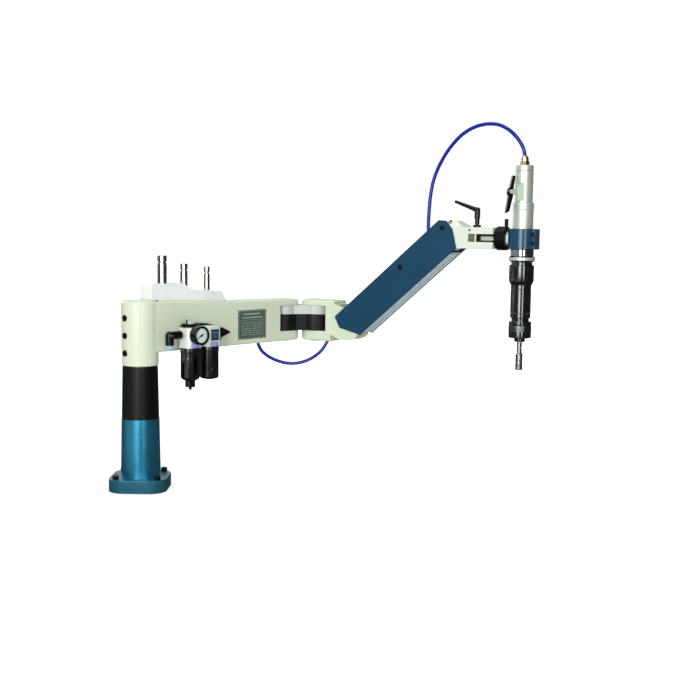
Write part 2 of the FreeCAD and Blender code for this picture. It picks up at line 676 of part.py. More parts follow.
def unit_block(x):
    half = UNIT_W / 2
    corners = [(x + sx * half, UNIT_Y + sy * UNIT_D / 2, UNIT_CORNER_R)
               for sx, sy in ((-1, -1), (1, -1), (1, 1), (-1, 1))]
    block = rounded(slab(corners, UNIT_LOW_Z, UNIT_TOP_Z), 1.5,
                    lambda e: min(v.Point.z for v in e.Vertexes) > UNIT_TOP_Z - 0.01)
    return block.cut([upright(BOWL_SOCKET_R, UNIT_LOW_Z - 1, UNIT_LOW_Z + RING_H + 12, x, UNIT_Y),
                      upright(RING_LOCK_R + GAP, UNIT_LOW_Z - 1, UNIT_LOW_Z + RING_H, x, UNIT_Y),
                      ring_window(x)])


def regulator_body():
    port = UNIT_X - UNIT_W / 2
    neck = upright(11, UNIT_TOP_Z - 1, UNIT_TOP_Z + UNIT_NECK, UNIT_X, UNIT_Y)
    joiner = box(UNIT_X + UNIT_W / 2 - 1, MIDDLE_X, UNIT_Y - 12, UNIT_Y + 12, UNIT_LOW_Z + 6, UNIT_TOP_Z - 6)
    gauge_port = cylinder(6, (UNIT_X, UNIT_Y, GAUGE_Z), (UNIT_X, GAUGE_BACK_Y, GAUGE_Z))
    body = union(unit_block(UNIT_X), neck, joiner, gauge_port)
    return body.cut([cylinder(5, (port - 1, UNIT_Y, INLET_Z), (port + 9, UNIT_Y, INLET_Z)),
                     upright(4 + RUN, UNIT_TOP_Z - 10, UNIT_TOP_Z + 6, UNIT_X, UNIT_Y)])


def lubricator_body():
    joiner = box(MIDDLE_X, UNIT2_X - UNIT_W / 2 + 1, UNIT_Y - 12, UNIT_Y + 12, UNIT_LOW_Z + 6, UNIT_TOP_Z - 6)
    front = UNIT_Y - UNIT_D / 2
    pocket = box(UNIT2_X - SIGHT_HALF, UNIT2_X + SIGHT_HALF, front - 1, front + 1.5, UNIT_LOW_Z + SIGHT_LOW,
                 UNIT_LOW_Z + SIGHT_LOW + SIGHT_H)
    return union(unit_block(UNIT2_X), joiner).cut(pocket)


def bowl_guard(x, low, foot, slot_angle):
    """A bowl guard: a round can on the foot's profile, open at the top, with a band and a sight slot."""
    top = UNIT_LOW_Z
    inner = BOWL_R - 3
    profile = [(0, low), *((r, low + h) for r, h in foot), (BOWL_R, top - 11), (BOWL_R + BAND_STEP, top - 10),
               (BOWL_R + BAND_STEP, top), (inner, top), (inner, low + 10), (BOWL_R - 7, low + 5), (0, low + 4)]
    guard = lathe(profile, x, UNIT_Y)
    slot = slab([(10, -3.2, 3), (30, -3.2), (30, 3.2), (10, 3.2, 3)], -19, 16)
    return guard.cut(put(slot, moved(x, UNIT_Y, (low + top) / 2, slot_angle)))


def filter_guard():
    low = FILTER_LOW_Z
    tail = upright(TAIL_R, low - 13.5, low + 3, UNIT_X, UNIT_Y)
    foot = ((TAIL_R + 0.5, 0), (BOWL_R - 3, 3.2), (BOWL_R - 0.8, 5.5), (BOWL_R, 8))
    body = union(bowl_guard(UNIT_X, low, foot, -95), tail)
    return body.cut(upright(2.5 + SLIP, low - 16, low + 5, UNIT_X, UNIT_Y))


def lubricator_guard():
    foot = ((9, 0), (BOWL_R - 3.7, 1.8), (BOWL_R - 1, 3.4), (BOWL_R, 6))
    return bowl_guard(UNIT2_X, LUBRICATOR_LOW_Z, foot, -60)


def bowl_rings():
    """The coloured lock ring at the top of each bowl, screwed up into its body."""
    def ring(x):
        top = UNIT_LOW_Z + RING_H
        body = union(upright(RING_LOCK_R, UNIT_LOW_Z + 0.02, top - 0.5, x, UNIT_Y),
                     upright(BOWL_SOCKET_R - 0.2, top - 1, top + 10, x, UNIT_Y))
        return body.cut(upright(BOWL_SOCKET_R - 2.5, UNIT_LOW_Z - 1, top + 11, x, UNIT_Y))
    return Part.makeCompound([ring(UNIT_X), ring(UNIT2_X)])


def drain_cock():
    low = FILTER_LOW_Z
    return union(upright(2.5, low - 14, low + 3.5, UNIT_X, UNIT_Y),
                 upright(3.2, low - 19.5, low - 13.9, UNIT_X, UNIT_Y))


def regulator_knob():
    """Pressure knob: a flat black disc with a fluted rim, a low dome on it and a small lock pin."""
    low = UNIT_TOP_Z + UNIT_NECK + GAP
    top = low + KNOB_SKIRT_H
    disc = rounded(upright(KNOB_R, low, top, UNIT_X, UNIT_Y), 2.2, lambda e: e.Length > 80)
    flutes = []
    for k in range(18):
        angle = math.radians(20 * k)
        flutes.append(upright(1.3, low - 1, top + 1, UNIT_X + (KNOB_R + 0.5) * math.cos(angle),
                              UNIT_Y + (KNOB_R + 0.5) * math.sin(angle)))
    dome_r = (KNOB_DOME_R ** 2 + KNOB_DOME_H ** 2) / (2 * KNOB_DOME_H)
    dome = Part.makeSphere(dome_r, vec(UNIT_X, UNIT_Y, top + KNOB_DOME_H - dome_r))
    dome = dome.common(upright(KNOB_DOME_R + 1, top - 1, top + KNOB_DOME_H + 1, UNIT_X, UNIT_Y))
    pin = upright(KNOB_PIN_R, top - 1, top + KNOB_PIN_H, *KNOB_PIN_AT)
    stem = upright(4, UNIT_TOP_Z - 6, low + 1, UNIT_X, UNIT_Y)
    return union(disc.cut(flutes), dome, pin, stem)


def gauge_case():
    """The pressure gauge's round case, with its dial floor sunk below the rim."""
    x = UNIT_X
    body = cylinder(GAUGE_R, (x, GAUGE_BACK_Y, GAUGE_Z), (x, GAUGE_FACE_Y, GAUGE_Z))
    body = rounded(body, 1.5, lambda e: e.Length > 100)
    well = cylinder(GAUGE_R - GAUGE_RIM, (x, GAUGE_FACE_Y - 1, GAUGE_Z), (x, GAUGE_FACE_Y + 4.5, GAUGE_Z))
    post = cylinder(1.0 + RUN, (x, GAUGE_FACE_Y, GAUGE_Z), (x, GAUGE_FACE_Y + 9, GAUGE_Z))
    return body.cut([well, post])


NEEDLE_ANGLE = 29.0         # needle's thick end above the horizontal; the tip is low on the left
NEEDLE_TAIL = 6.0
NEEDLE_TIP = 14.0


def gauge_needle():
    x = UNIT_X
    y = GAUGE_FACE_Y + 2.6
    half = [(NEEDLE_TAIL, 1.2), (-NEEDLE_TAIL + 1, 1.2), (-NEEDLE_TAIL - 0.5, 0.5), (-NEEDLE_TIP, 0.25)]
    flat = side_plate([(a, -b) for a, b in half] + half[::-1], -0.5, 0.5)
    flat = put(flat, FreeCAD.Placement(vec(x, y, GAUGE_Z), turned(vec(0, 1, 0), -NEEDLE_ANGLE)))
    hub = cylinder(2.2, (x, y - 0.9, GAUGE_Z), (x, y + 0.6, GAUGE_Z))
    stem = cylinder(1.0, (x, y, GAUGE_Z), (x, y + 5.5, GAUGE_Z))
    return union(flat, hub, stem)


def inlet_elbow():
    """The push-in elbow that feeds the regulator: brass thread, black body, tube mouth downwards."""
    end = UNIT_X - UNIT_W / 2
    x = INLET_X
    z = INLET_Z
    nut_start = end - INLET_NUT_L
    arm = cylinder(INLET_R - 1, (x, UNIT_Y, z), (nut_start, UNIT_Y, z))
    elbow = Part.makeSphere(INLET_R, vec(x, UNIT_Y, z))
    mouth = upright(INLET_R, INLET_LOW_Z, z, x, UNIT_Y)
    nut = put(hexagon(13, -INLET_NUT_L, 0), pointing((1, 0, 0), (end, UNIT_Y, z)))
    thread = cylinder(5, (nut_start, UNIT_Y, z), (end + 8, UNIT_Y, z))
    body = union(arm, elbow, mouth, nut, thread)
    return body.cut([upright(HOSE_D / 2 + 0.1, INLET_LOW_Z - 1, z - 4, x, UNIT_Y),
                     upright(RELEASE_R + RUN, INLET_LOW_Z - 1, INLET_LOW_Z + 6, x, UNIT_Y)])


def release_ring():
    """The collet ring in the elbow's mouth, pushed in to free the tube."""
    low = INLET_LOW_Z - RELEASE_TRAVEL - RELEASE_RIM
    ring = union(upright(RELEASE_R, low, INLET_LOW_Z + 4, INLET_X, UNIT_Y),
                 upright(RELEASE_R + 1.6, low, low + RELEASE_RIM, INLET_X, UNIT_Y))
    return ring.cut(upright(HOSE_D / 2 + 0.1, low - 1, INLET_LOW_Z + 5, INLET_X, UNIT_Y))


def nameplate():
    mid = PLATE_X + PLATE_W / 2
    plate = box(-PLATE_W / 2, PLATE_W / 2, -0.8, -0.02, PLATE_LOW_Z, PLATE_LOW_Z + PLATE_H)
    return put(plate, moved(mid, arm_skin(mid), 0, math.degrees(math.atan2(ARM1_HALF - FORK_HALF, ARM1_L))))


# ---------------------------------------------------------------- elbow
def inner_elbow_pin():
    return union(upright(ELBOW_PIN_R, ARM1_BOTTOM_Z, FORK_TOP_Z - 0.5),
                 upright(ELBOW_PIN_R + 4, ARM1_BOTTOM_Z - 3, ARM1_BOTTOM_Z))


def link_stack():
    return SLOT_LOW_Z + GAP, SLOT_HIGH_Z - GAP - PLATE_T, SLOT_HIGH_Z - GAP


def link_shape(radius, waist, low, high):
    ends = [upright(radius, low, high), upright(radius, low, high, PIN_PITCH)]
    return union(ends[0], ends[1], box(0, PIN_PITCH, -waist, waist, low, high))


def link_bores(radius):
    low, _, high = link_stack()
    return [upright(radius, low - 1, high + 1, x) for x in (0, PIN_PITCH)]


def elbow_link():
    low, seam, _ = link_stack()
    return link_shape(LINK_R, LINK_WAIST, low, seam).cut(link_bores(ELBOW_BUSH_R))


def elbow_plate():
    _, seam, high = link_stack()
    return link_shape(LINK_R - 0.6, LINK_WAIST + 4, seam, high).cut(link_bores(ELBOW_BUSH_R))


def elbow_bushes():
    low, _, high = link_stack()
    return Part.makeCompound([upright(ELBOW_BUSH_R, low, high, x).cut(
        upright(ELBOW_PIN_R + RUN, low - 1, high + 1, x)) for x in (0, PIN_PITCH)])


# ---------------------------------------------------------------- knuckle
def cheek_outline():
    x = PIVOT_X
    z = PIVOT_Z
    return [(KNUCKLE_NOTCH_X, z - NOTCH_DROP), (x - 13, z - 48, 14), (x + 13, z - 49.5, 40),
            (x + 35.5, z - 40, 14), (x + 33, z + 9, 20), (x + 17, z + 19, 16), (KNUCKLE_NOTCH_X, z + 37)]


def knuckle():
    """Fork on the outer elbow pin, narrowing to the two cheeks that carry the links."""
    stop = KNUCKLE_TAPER_END
    reach = math.hypot(stop, CHEEK_OUT)
    swing = math.atan2(CHEEK_OUT, stop) + math.acos(FORK_HALF / reach)
    tangent = FORK_HALF * math.cos(swing), FORK_HALF * math.sin(swing)
    corners = [vec(tangent[0], -tangent[1], 0), vec(stop, -CHEEK_OUT, 0), vec(stop, CHEEK_OUT, 0),
               vec(*tangent, 0)]
    edges = [Part.LineSegment(a, b).toShape() for a, b in zip(corners, corners[1:])]
    edges.append(Part.Arc(corners[-1], vec(-FORK_HALF, 0, 0), corners[0]).toShape())
    plan = Part.Face(Part.Wire(edges))
    fork = plan.extrude(vec(0, 0, FORK_TOP_Z - ARM1_BOTTOM_Z)).translated(vec(0, 0, ARM1_BOTTOM_Z))
    fork = rounded(fork, CAST_R, lambda e: runs_along(e, (1, 0, 0), 40)
                   or e.Curve.TypeId == "Part::GeomCircle" and e.Length > 60)
    web_end = KNUCKLE_TAPER_END + 5
    below = ARM1_BOTTOM_Z - 9
    notch = side_plate([(KNUCKLE_NOTCH_X, below), (web_end + 4, below), (web_end + 4, PIVOT_Z - 46),
                        (KNUCKLE_NOTCH_X, PIVOT_Z - NOTCH_DROP)], -60, 60)
    crest = side_plate([(KNUCKLE_NOTCH_X + 6, FORK_TOP_Z + 9), (KNUCKLE_NOTCH_X + 6, FORK_TOP_Z + 0.5),
                        (web_end, FORK_TOP_Z - 8), (web_end, FORK_TOP_Z + 9)], -60, 60)
    cheeks = side_plate(cheek_outline(), -CHEEK_OUT, CHEEK_OUT)
    room = BAR_OUT + GAP
    between = box(web_end, PIVOT_X + 60, -room, room, PIVOT_Z - 70, PIVOT_Z + 60)
    under_web = box(KNUCKLE_NOTCH_X, web_end + 1, -room, room, PIVOT_Z - 70, PIVOT_Z - NOTCH_DROP)
    body = union(fork.cut([notch, crest]), cheeks.cut([between, under_web]))
    anchor_z = PIVOT_Z - SPRING_DROP
    lugs = [side_plate([(web_end - 3, anchor_z - 12), (PIVOT_X + 8, anchor_z - 8, 7.9),
                        (PIVOT_X + 8, anchor_z + 8, 7.9), (web_end - 3, anchor_z + 12)], y, y + 4.5)
            for y in (-11.5, 7.0)]
    body = union(body, *lugs)
    return body.cut([box(-60, SLOT_REACH, -60, 60, SLOT_LOW_Z, SLOT_HIGH_Z),
                     upright(ELBOW_PIN_R, ARM1_BOTTOM_Z - 1, FORK_TOP_Z + 1),
                     across(LINK_PIN_R + RUN, LINK_PIN_END + RUN, PIVOT_X, PIVOT_Z),
                     across(LINK_PIN_R + RUN, LINK_PIN_END + RUN, PIVOT_X, PIVOT_Z - PIVOT_PITCH),
                     across(SPRING_PIN_R + RUN, 12, PIVOT_X, anchor_z),
                     upright(HOSE_D / 2 + HOSE_ROOM, ARM1_BOTTOM_Z - 1, ARM1_BOTTOM_Z + 14,
                             KNUCKLE_HOSE_X, KNUCKLE_HOSE_Y)])


# ---------------------------------------------------------------- parallelogram links
def bar_pair(end_spacer_u, extra=()):
    """Two eyed bars along x with their spacer, as one welded frame."""
    pieces = []
    for side in (-1, 1):
        y0, y1 = sorted((side * BAR_IN, side * BAR_OUT))
        flat = [(0, -BAR_HALF_H), (LINK_L, -BAR_HALF_H), (LINK_L, BAR_HALF_H), (0, BAR_HALF_H)]
        bar = side_plate(flat, y0, y1)
        eyes = [cylinder(EYE_R, (u, y0, 0), (u, y1, 0)) for u in (0, LINK_L)]
        pieces.append(union(bar, *eyes))
    spacer = across(6, BAR_IN + 1, end_spacer_u, 0)
    return union(pieces[0], pieces[1], spacer, *extra)


def upper_link():
    spring_pin = across(SPRING_PIN_R, BAR_IN + 1, SPRING_REACH, 0)
    u = COVER_SCREW_U
    posts = [cylinder(7, (u, side * (BAR_OUT - 1), 0), (u, side * (CHEEK_OUT + 0.5), 0)) for side in (-1, 1)]
    frame = bar_pair(LINK_L - 45, (spring_pin, *posts))
    bores = [across(LINK_PIN_R, 40, u, 0) for u in (0, LINK_L)]
    return frame.cut(bores + screw_holes(u))


def screw_holes(u):
    """Holes for the cover screws, one a side."""
    return [cylinder(2.0, (u, side * (CHEEK_OUT - 7), 0), (u, side * (CHEEK_OUT + 1), 0)) for side in (-1, 1)]


def upper_link_pins():
    """A stub each side at the knuckle, and one through pin at the head, tapped for the cover screws."""
    stubs = [cylinder(LINK_PIN_R, (0, side * BAR_IN, 0), (0, side * LINK_PIN_END, 0)) for side in (-1, 1)]
    through = across(LINK_PIN_R, CHEEK_OUT + 0.3, LINK_L, 0).cut(screw_holes(LINK_L))
    return Part.makeCompound([*stubs, through])


def lower_link():
    stubs = [cylinder(LINK_PIN_R, (u, side * BAR_IN, 0), (u, side * LINK_PIN_END, 0))
             for side in (-1, 1) for u in (0, LINK_L)]
    return bar_pair(LINK_L - 45, stubs)


def cover_outline():
    low, top, far = -COVER_LOW, COVER_TOP, LINK_L
    return [(-14.5, top, 3), (-21.3, -8.5, 8), (12.0, low, 3), (far - 2.5, low, 3), (far + 16.5, -16.4, 3),
            (far + 17.2, 6.3, 3), (far + 4.2, top, 3)]


def cover(side):
    """One blue cover: a pressed side with a lip folded over the arm's top."""
    inner = CHEEK_OUT + 0.5
    y0, y1 = sorted((side * inner, side * (inner + COVER_T)))
    skin = side_plate(cover_outline(), y0, y1)
    y2, y3 = sorted((side * 0.1, side * (inner + 0.5)))
    lip = box(LIP_START, LINK_L - LIP_END, y2, y3, COVER_TOP - COVER_T, COVER_TOP)
    solid = union(skin, lip)
    holes = [cylinder(2.3, (u, side * (inner - 1), 0), (u, side * (inner + COVER_T + 1), 0))
             for u in (COVER_SCREW_U, LINK_L)]
    lean_x = 12 * math.sin(math.radians(LIFT_ANGLE))
    lean_z = 12 * math.cos(math.radians(LIFT_ANGLE))
    holes.append(cylinder(HOSE_D / 2 + HOSE_ROOM, (UPPER_HOSE_U - lean_x, 0, COVER_TOP - lean_z),
                          (UPPER_HOSE_U + lean_x, 0, COVER_TOP + lean_z)))
    return solid.cut(holes)


def cover_screws():
    """Four black button-head screws, two a side."""
    face = CHEEK_OUT + 0.5 + COVER_T
    screw = union(upright(COVER_SCREW_R, 0, 1.6), upright(2.0, -9, 0)).cut(hexagon(4.5, 0.5, 3))
    places = [pointing((0, side, 0), (u, side * face, 0))
              for side in (-1, 1) for u in (COVER_SCREW_U, LINK_L)]
    return Part.makeCompound([put(screw, place) for place in places])


def underside_plate():
    """The grey plate that closes the arm from below, between the covers."""
    inner = CHEEK_OUT + 0.5
    return box(UNDERSIDE_START, LINK_L - UNDERSIDE_END, -inner, inner, -COVER_LOW, -COVER_LOW + COVER_T)


# ---------------------------------------------------------------- gas spring
SPRING_DX = SPRING_REACH * math.cos(math.radians(LIFT_ANGLE))
SPRING_DZ = SPRING_REACH * math.sin(math.radians(LIFT_ANGLE)) + SPRING_DROP
SPRING_REST_L = math.hypot(SPRING_DX, SPRING_DZ)
SPRING_ANGLE = math.degrees(math.atan2(SPRING_DZ, SPRING_DX))
SPRING = ARM2.multiply(FreeCAD.Placement(vec(PIVOT_X, 0, PIVOT_Z - SPRING_DROP),
                                         turned(vec(0, 1, 0), -SPRING_ANGLE)))
SPRING_TUBE_START = 14.0


def gas_spring_cylinder():
    """Tube whose eye pin turns in the knuckle's lugs; the rod runs in its mouth."""
    end = SPRING_REST_L - SPRING_ROD_OUT
    eye = across(7.5, 6.5, 0, 0)
    neck = box(0, SPRING_TUBE_START + 1, -4, 4, -5, 5)
    tube = cylinder(SPRING_TUBE_R, (SPRING_TUBE_START, 0, 0), (end, 0, 0))
    bore = cylinder(SPRING_ROD_R + 2.5, (SPRING_TUBE_START + 6, 0, 0), (end - 8, 0, 0))
    mouth = cylinder(SPRING_ROD_R + RUN, (end - 9, 0, 0), (end + 1, 0, 0))
    pin = across(SPRING_PIN_R, 11.4, 0, 0)
    return union(eye, neck, tube, pin).cut([bore, mouth])


def gas_spring_rod():
    """Rod, its piston and its open eye on the upper link's pin."""
    piston_x = SPRING_REST_L - SPRING_ROD_OUT - SPRING_PISTON_IN
    eye_r = SPRING_PIN_R + SPRING_EYE_SLACK
    rod = cylinder(SPRING_ROD_R, (piston_x, 0, 0), (SPRING_REST_L - eye_r - 1, 0, 0))
    piston = cylinder(SPRING_ROD_R + 2.2, (piston_x, 0, 0), (piston_x + 8, 0, 0))
    eye = across(eye_r + 3.2, 6, SPRING_REST_L, 0)
    return union(rod, piston, eye).cut(across(eye_r, 8, SPRING_REST_L, 0))


# ---------------------------------------------------------------- head
def head_block():
    web = HEAD_X + HEAD_WEB
    rise = HEAD_RIDGE_H
    eye_low = HEAD_Z - PIVOT_PITCH - 14
    profile = [(-CHEEK_OUT, HEAD_LOW_Z), (CHEEK_OUT, HEAD_LOW_Z), (CHEEK_OUT, HEAD_FACE_Z),
               (CHEEK_OUT - rise, HEAD_RIDGE_Z), (rise - CHEEK_OUT, HEAD_RIDGE_Z), (-CHEEK_OUT, HEAD_FACE_Z)]
    across_face = slab(profile, 0, HEAD_BLOCK_END - HEAD_X - 4)
    stand = FreeCAD.Rotation(vec(0, 1, 0), vec(0, 0, 1), vec(1, 0, 0), "YXZ")
    block = put(across_face, FreeCAD.Placement(vec(HEAD_X + 4, 0, 0), stand))
    ears = side_plate([(HEAD_X - 14, eye_low, 12), (HEAD_X + 14, eye_low, 8), (web + 4, HEAD_LOW_Z),
                       (web + 4, HEAD_FACE_Z), (HEAD_X + 6, HEAD_Z + 14.5, 6),
                       (HEAD_X - 14, HEAD_Z + 13, 12)],
                      -CHEEK_OUT, CHEEK_OUT)
    past = HEAD_BLOCK_END + 9
    ridge_end = HEAD_X + HEAD_RIDGE_L
    slope = side_plate([(ridge_end, HEAD_RIDGE_Z), (HEAD_BLOCK_END, HEAD_FACE_Z), (past, HEAD_FACE_Z),
                        (past, HEAD_RIDGE_Z + 1), (ridge_end, HEAD_RIDGE_Z + 1)], -60, 60)
    room = BAR_OUT + GAP
    between = box(HEAD_X - 40, web, -room, room, eye_low - 5, HEAD_RIDGE_Z + 5)
    bar = box(HEAD_BLOCK_END - 6, BRACKET_END, -CHEEK_OUT, CHEEK_OUT, HEAD_LOW_Z, HEAD_FACE_Z)
    bar = rounded(bar, 2.0, lambda e: runs_along(e, (1, 0, 0), 40) or e.BoundBox.XMin > BRACKET_END - 0.01)
    body = union(block, ears, bar)
    slot_half = JAW_SLOT_H / 2
    cuts = [between, slope,
            across(LINK_PIN_R + RUN, 60, HEAD_X, HEAD_Z),
            across(LINK_PIN_R + RUN, LINK_PIN_END + RUN, HEAD_X, HEAD_Z - PIVOT_PITCH),
            cylinder(TILT_R + RUN, (SHAFT_START - 1, 0, TILT_Z), (BRACKET_END + 1, 0, TILT_Z)),
            box(BRACKET_END - JAW_SLOT_L, BRACKET_END + 1, -CHEEK_OUT - 1, 0,
                TILT_Z - slot_half, TILT_Z + slot_half),
            upright(LEVER_STUD_R + RUN, HEAD_LOW_Z + 8, HEAD_FACE_Z + 1, LEVER_X, -LEVER_OUT)]
    return body.cut(cuts)


def clamp_lever():
    """Adjustable clamp lever: its stud crosses the jaw slot, its handle rises away from the head."""
    low = HEAD_FACE_Z + 0.1
    crown_z = low + LEVER_CROWN_H
    parts = [upright(LEVER_STUD_R, HEAD_LOW_Z + 9, low + 2),
             upright(LEVER_BOSS_R, low, low + 3),
             upright(LEVER_STEM_R, low + 2.5, low + 7),
             upright(LEVER_STEM_R + 1, low + 6.5, low + 20),
             upright(LEVER_GRIP_R, low + 18, crown_z + 1)]
    foot = vec(0, 0, crown_z)
    tip = vec(-HANDLE_REACH, 0, crown_z + HANDLE_RISE)
    handle = cone(HANDLE_R, HANDLE_TIP_R, tuple(foot), tuple(tip))
    crown = Part.makeSphere(LEVER_GRIP_R + 0.3, foot)
    end = Part.makeSphere(HANDLE_TIP_R + 0.1, tip)
    return put(union(*parts, handle, crown, end), moved(LEVER_X, -LEVER_OUT, 0))


def index_ring():
    ring = cylinder(RING_R, (RING_START, 0, TILT_Z), (RING_FRONT, 0, TILT_Z))
    rims = [e for e in ring.Edges if e.Length > 120 and e.Curve.TypeId == "Part::GeomCircle"]
    ring = ring.makeChamfer(2.2, rims)
    pin_x = RING_FRONT - INDEX_PIN_BACK
    return ring.cut([cylinder(TILT_R + RUN, (RING_START - 1, 0, TILT_Z), (RING_FRONT + 1, 0, TILT_Z)),
                     cylinder(INDEX_STEM_R + RUN, (pin_x, 0, TILT_Z + TILT_R - 2), (pin_x, 0, TILT_Z + 30))])


def index_pin():
    """Spring plunger that locks the tilt: knob outside, pin through the ring into the shaft."""
    x = RING_FRONT - INDEX_PIN_BACK
    top = TILT_Z + RING_R
    knob = upright(INDEX_PIN_R, top + 0.3, top + INDEX_PIN_OUT, x)
    knob = rounded(knob, 1.0, lambda e: e.Length > 20)
    return union(knob, upright(INDEX_STEM_R, TILT_Z + TILT_R + 0.3, top + 2, x))


def tilt_shaft():
    """Steel shaft through ring and bracket, with the bright neck that enters the motor clamp."""
    front = RING_FRONT + GAP
    neck_end = TOOL_X - BARREL_R - 5
    return union(cylinder(TILT_R, (SHAFT_START, 0, TILT_Z), (front + 1, 0, TILT_Z)),
                 cylinder(NECK_R, (front, 0, TILT_Z), (neck_end, 0, TILT_Z)))


def motor_clamp():
    """Blue clamp round the motor barrel, split at its ear, with a socket for the tilt shaft's neck."""
    low, high = CLAMP_LOW_Z, CLAMP_HIGH_Z
    flat_x = -CLAMP_FLAT
    ring = upright(CLAMP_R, low, high).cut(box(-CLAMP_R - 1, flat_x, -CLAMP_R, CLAMP_R, low - 1, high + 1))
    ear = box(0, CLAMP_EAR, -CLAMP_EAR_HALF, CLAMP_EAR_HALF, low, high)
    ear = rounded(ear, 1.5, lambda e: runs_along(e, (0, 0, 1), 30) and e.BoundBox.XMin > CLAMP_EAR - 1)
    body = union(ring, ear)
    cuts = [upright(BARREL_R, low - 1, high + 1),
            box(BARREL_R - 3, CLAMP_EAR + 1, -1.5, 1.5, low - 1, high + 1),
            cylinder(NECK_R, (flat_x - 1, 0, TILT_Z), (-BARREL_R - 5, 0, TILT_Z))]
    for z in clamp_screw_heights():
        cuts.append(cylinder(4.2, (CLAMP_SCREW_X, -CLAMP_R, z), (CLAMP_SCREW_X, 5 - CLAMP_EAR_HALF, z)))
        cuts.append(across(2.5, CLAMP_EAR_HALF + 1, CLAMP_SCREW_X, z))
    return body.cut(cuts)


CLAMP_SCREW_X = BARREL_R + 6.2


def clamp_screw_heights():
    middle = (CLAMP_LOW_Z + CLAMP_HIGH_Z) / 2
    return (middle - 9.0, middle + 9.0)


def clamp_screws():
    screw = cap_screw(4.0, 5.0, 2.5, 2 * CLAMP_EAR_HALF - 8)
    return Part.makeCompound([put(screw, pointing((0, -1, 0), (CLAMP_SCREW_X, -CLAMP_EAR_HALF + 5, z)))
                              for z in clamp_screw_heights()])


# ---------------------------------------------------------------- tapping motor
def motor_barrel():
    """Silver lower housing with its ring band; the clamp grips it."""
    profile = [(0, CLAMP_LOW_Z), (BARREL_R, CLAMP_LOW_Z), (BARREL_R, BAND_LOW_Z), (BAND_R, BAND_LOW_Z + 0.6),
               (BAND_R, BAND_HIGH_Z - 0.6), (BARREL_R - 0.6, BAND_HIGH_Z), (0, BAND_HIGH_Z)]
    groove_z = (BAND_LOW_Z + BAND_HIGH_Z) / 2
    groove = upright(BAND_R + 1, groove_z - 0.5, groove_z + 0.5).cut(
        upright(BAND_R - 0.8, groove_z - 0.5, groove_z + 0.5))
    rotor_room = upright(14, CLAMP_LOW_Z + 8, BAND_HIGH_Z - 8)
    return lathe(profile).cut([groove, rotor_room])


def lever_frame():
    """On the motor head's skin under the throttle lever: +x outwards, z up."""
    return moved(yaw=THROTTLE_ANGLE)


def motor_head():
    """Silver upper housing with the throttle's flat and pivot ears."""
    body = upright(MOTOR_HEAD_R, BAND_HIGH_Z, MOTOR_TOP_Z)
    body = rounded(body, 1.2, lambda e: min(v.Point.z for v in e.Vertexes) > MOTOR_TOP_Z - 0.01)
    flat_z = BAND_HIGH_Z + FLAT_UP
    flat = put(box(MOTOR_HEAD_R - 2.2, MOTOR_HEAD_R + 5, -14, 14, flat_z, flat_z + FLAT_H),
               moved(yaw=THROTTLE_ANGLE + 38))
    z = LEVER_PIVOT_Z
    ear = [(MOTOR_HEAD_R - 3, z - 6), (LEVER_PIVOT_R + 4, z - 4, 3.9), (LEVER_PIVOT_R + 4, z + 4, 3.9),
           (MOTOR_HEAD_R - 3, z + 6)]
    ears = [put(side_plate(ear, y, y + 2.5), lever_frame()) for y in (-6.5, 4.0)]
    pin = put(across(LEVER_PIN_R, 6.5, LEVER_PIVOT_R, z), lever_frame())
    port = upright(6, MOTOR_TOP_Z - 9, MOTOR_TOP_Z + 1)
    return union(body.cut(flat), *ears, pin).cut(port)


def throttle_lever():
    """Black start lever: a short arm above the pivot, a long one flaring outwards below it."""
    x = LEVER_PIVOT_R
    z = LEVER_PIVOT_Z
    points = [(x - 9.7, z + 33, 1.5), (x - 3.6, z + 33.5, 1.5), (x + 2, z + 8.5, 3), (x + 6.2, z + 5, 3),
              (x + 7.6, z - 2, 4), (x + 5.0, z - 9, 3), (x + 11, z - 46, 1.5), (x + 2.4, z - 41.6, 1.5),
              (x - 5.2, z - 10, 4), (x - 6.6, z, 4), (x - 6.4, z + 9, 4)]
    blade = side_plate(points, -3.6, 3.6)
    return put(blade.cut(across(LEVER_PIN_R + RUN, 8, x, z)), lever_frame())


def air_fitting():
    """Brass push-in fitting on the motor's top."""
    hexed = hexagon(2 * FITTING_R * 0.9, MOTOR_TOP_Z, MOTOR_TOP_Z + FITTING_HEX_H)
    crown = upright(FITTING_R - 2.2, MOTOR_TOP_Z + FITTING_HEX_H, FITTING_TIP_Z)
    tip = cone(FITTING_R - 2.2, HOSE_D / 2 + 1.6, (0, 0, FITTING_TIP_Z), (0, 0, FITTING_TOP_Z))
    body = union(hexed, crown, tip, upright(6, MOTOR_TOP_Z - 8.9, MOTOR_TOP_Z))
    return body.cut(upright(HOSE_D / 2 + GAP, FITTING_TOP_Z - FITTING_BORE_L, FITTING_TOP_Z + 1))


def motor_nut():
    """Chromed nut that holds the chuck under the clamp: plain band, then a flared ring."""
    flare_z = NUT_LOW_Z + NUT_FLARE_L
    profile = [(0, CLAMP_LOW_Z), (NUT_R - 1, CLAMP_LOW_Z), (NUT_R, CLAMP_LOW_Z - 1), (NUT_R, flare_z),
               (NUT_FLARE_R, flare_z - 3), (NUT_FLARE_R, NUT_LOW_Z + 3.5), (NUT_R - 1, NUT_LOW_Z),
               (0, NUT_LOW_Z)]
    return lathe(profile).cut(upright(9 + RUN, NUT_LOW_Z - 1, NUT_LOW_Z + 19))


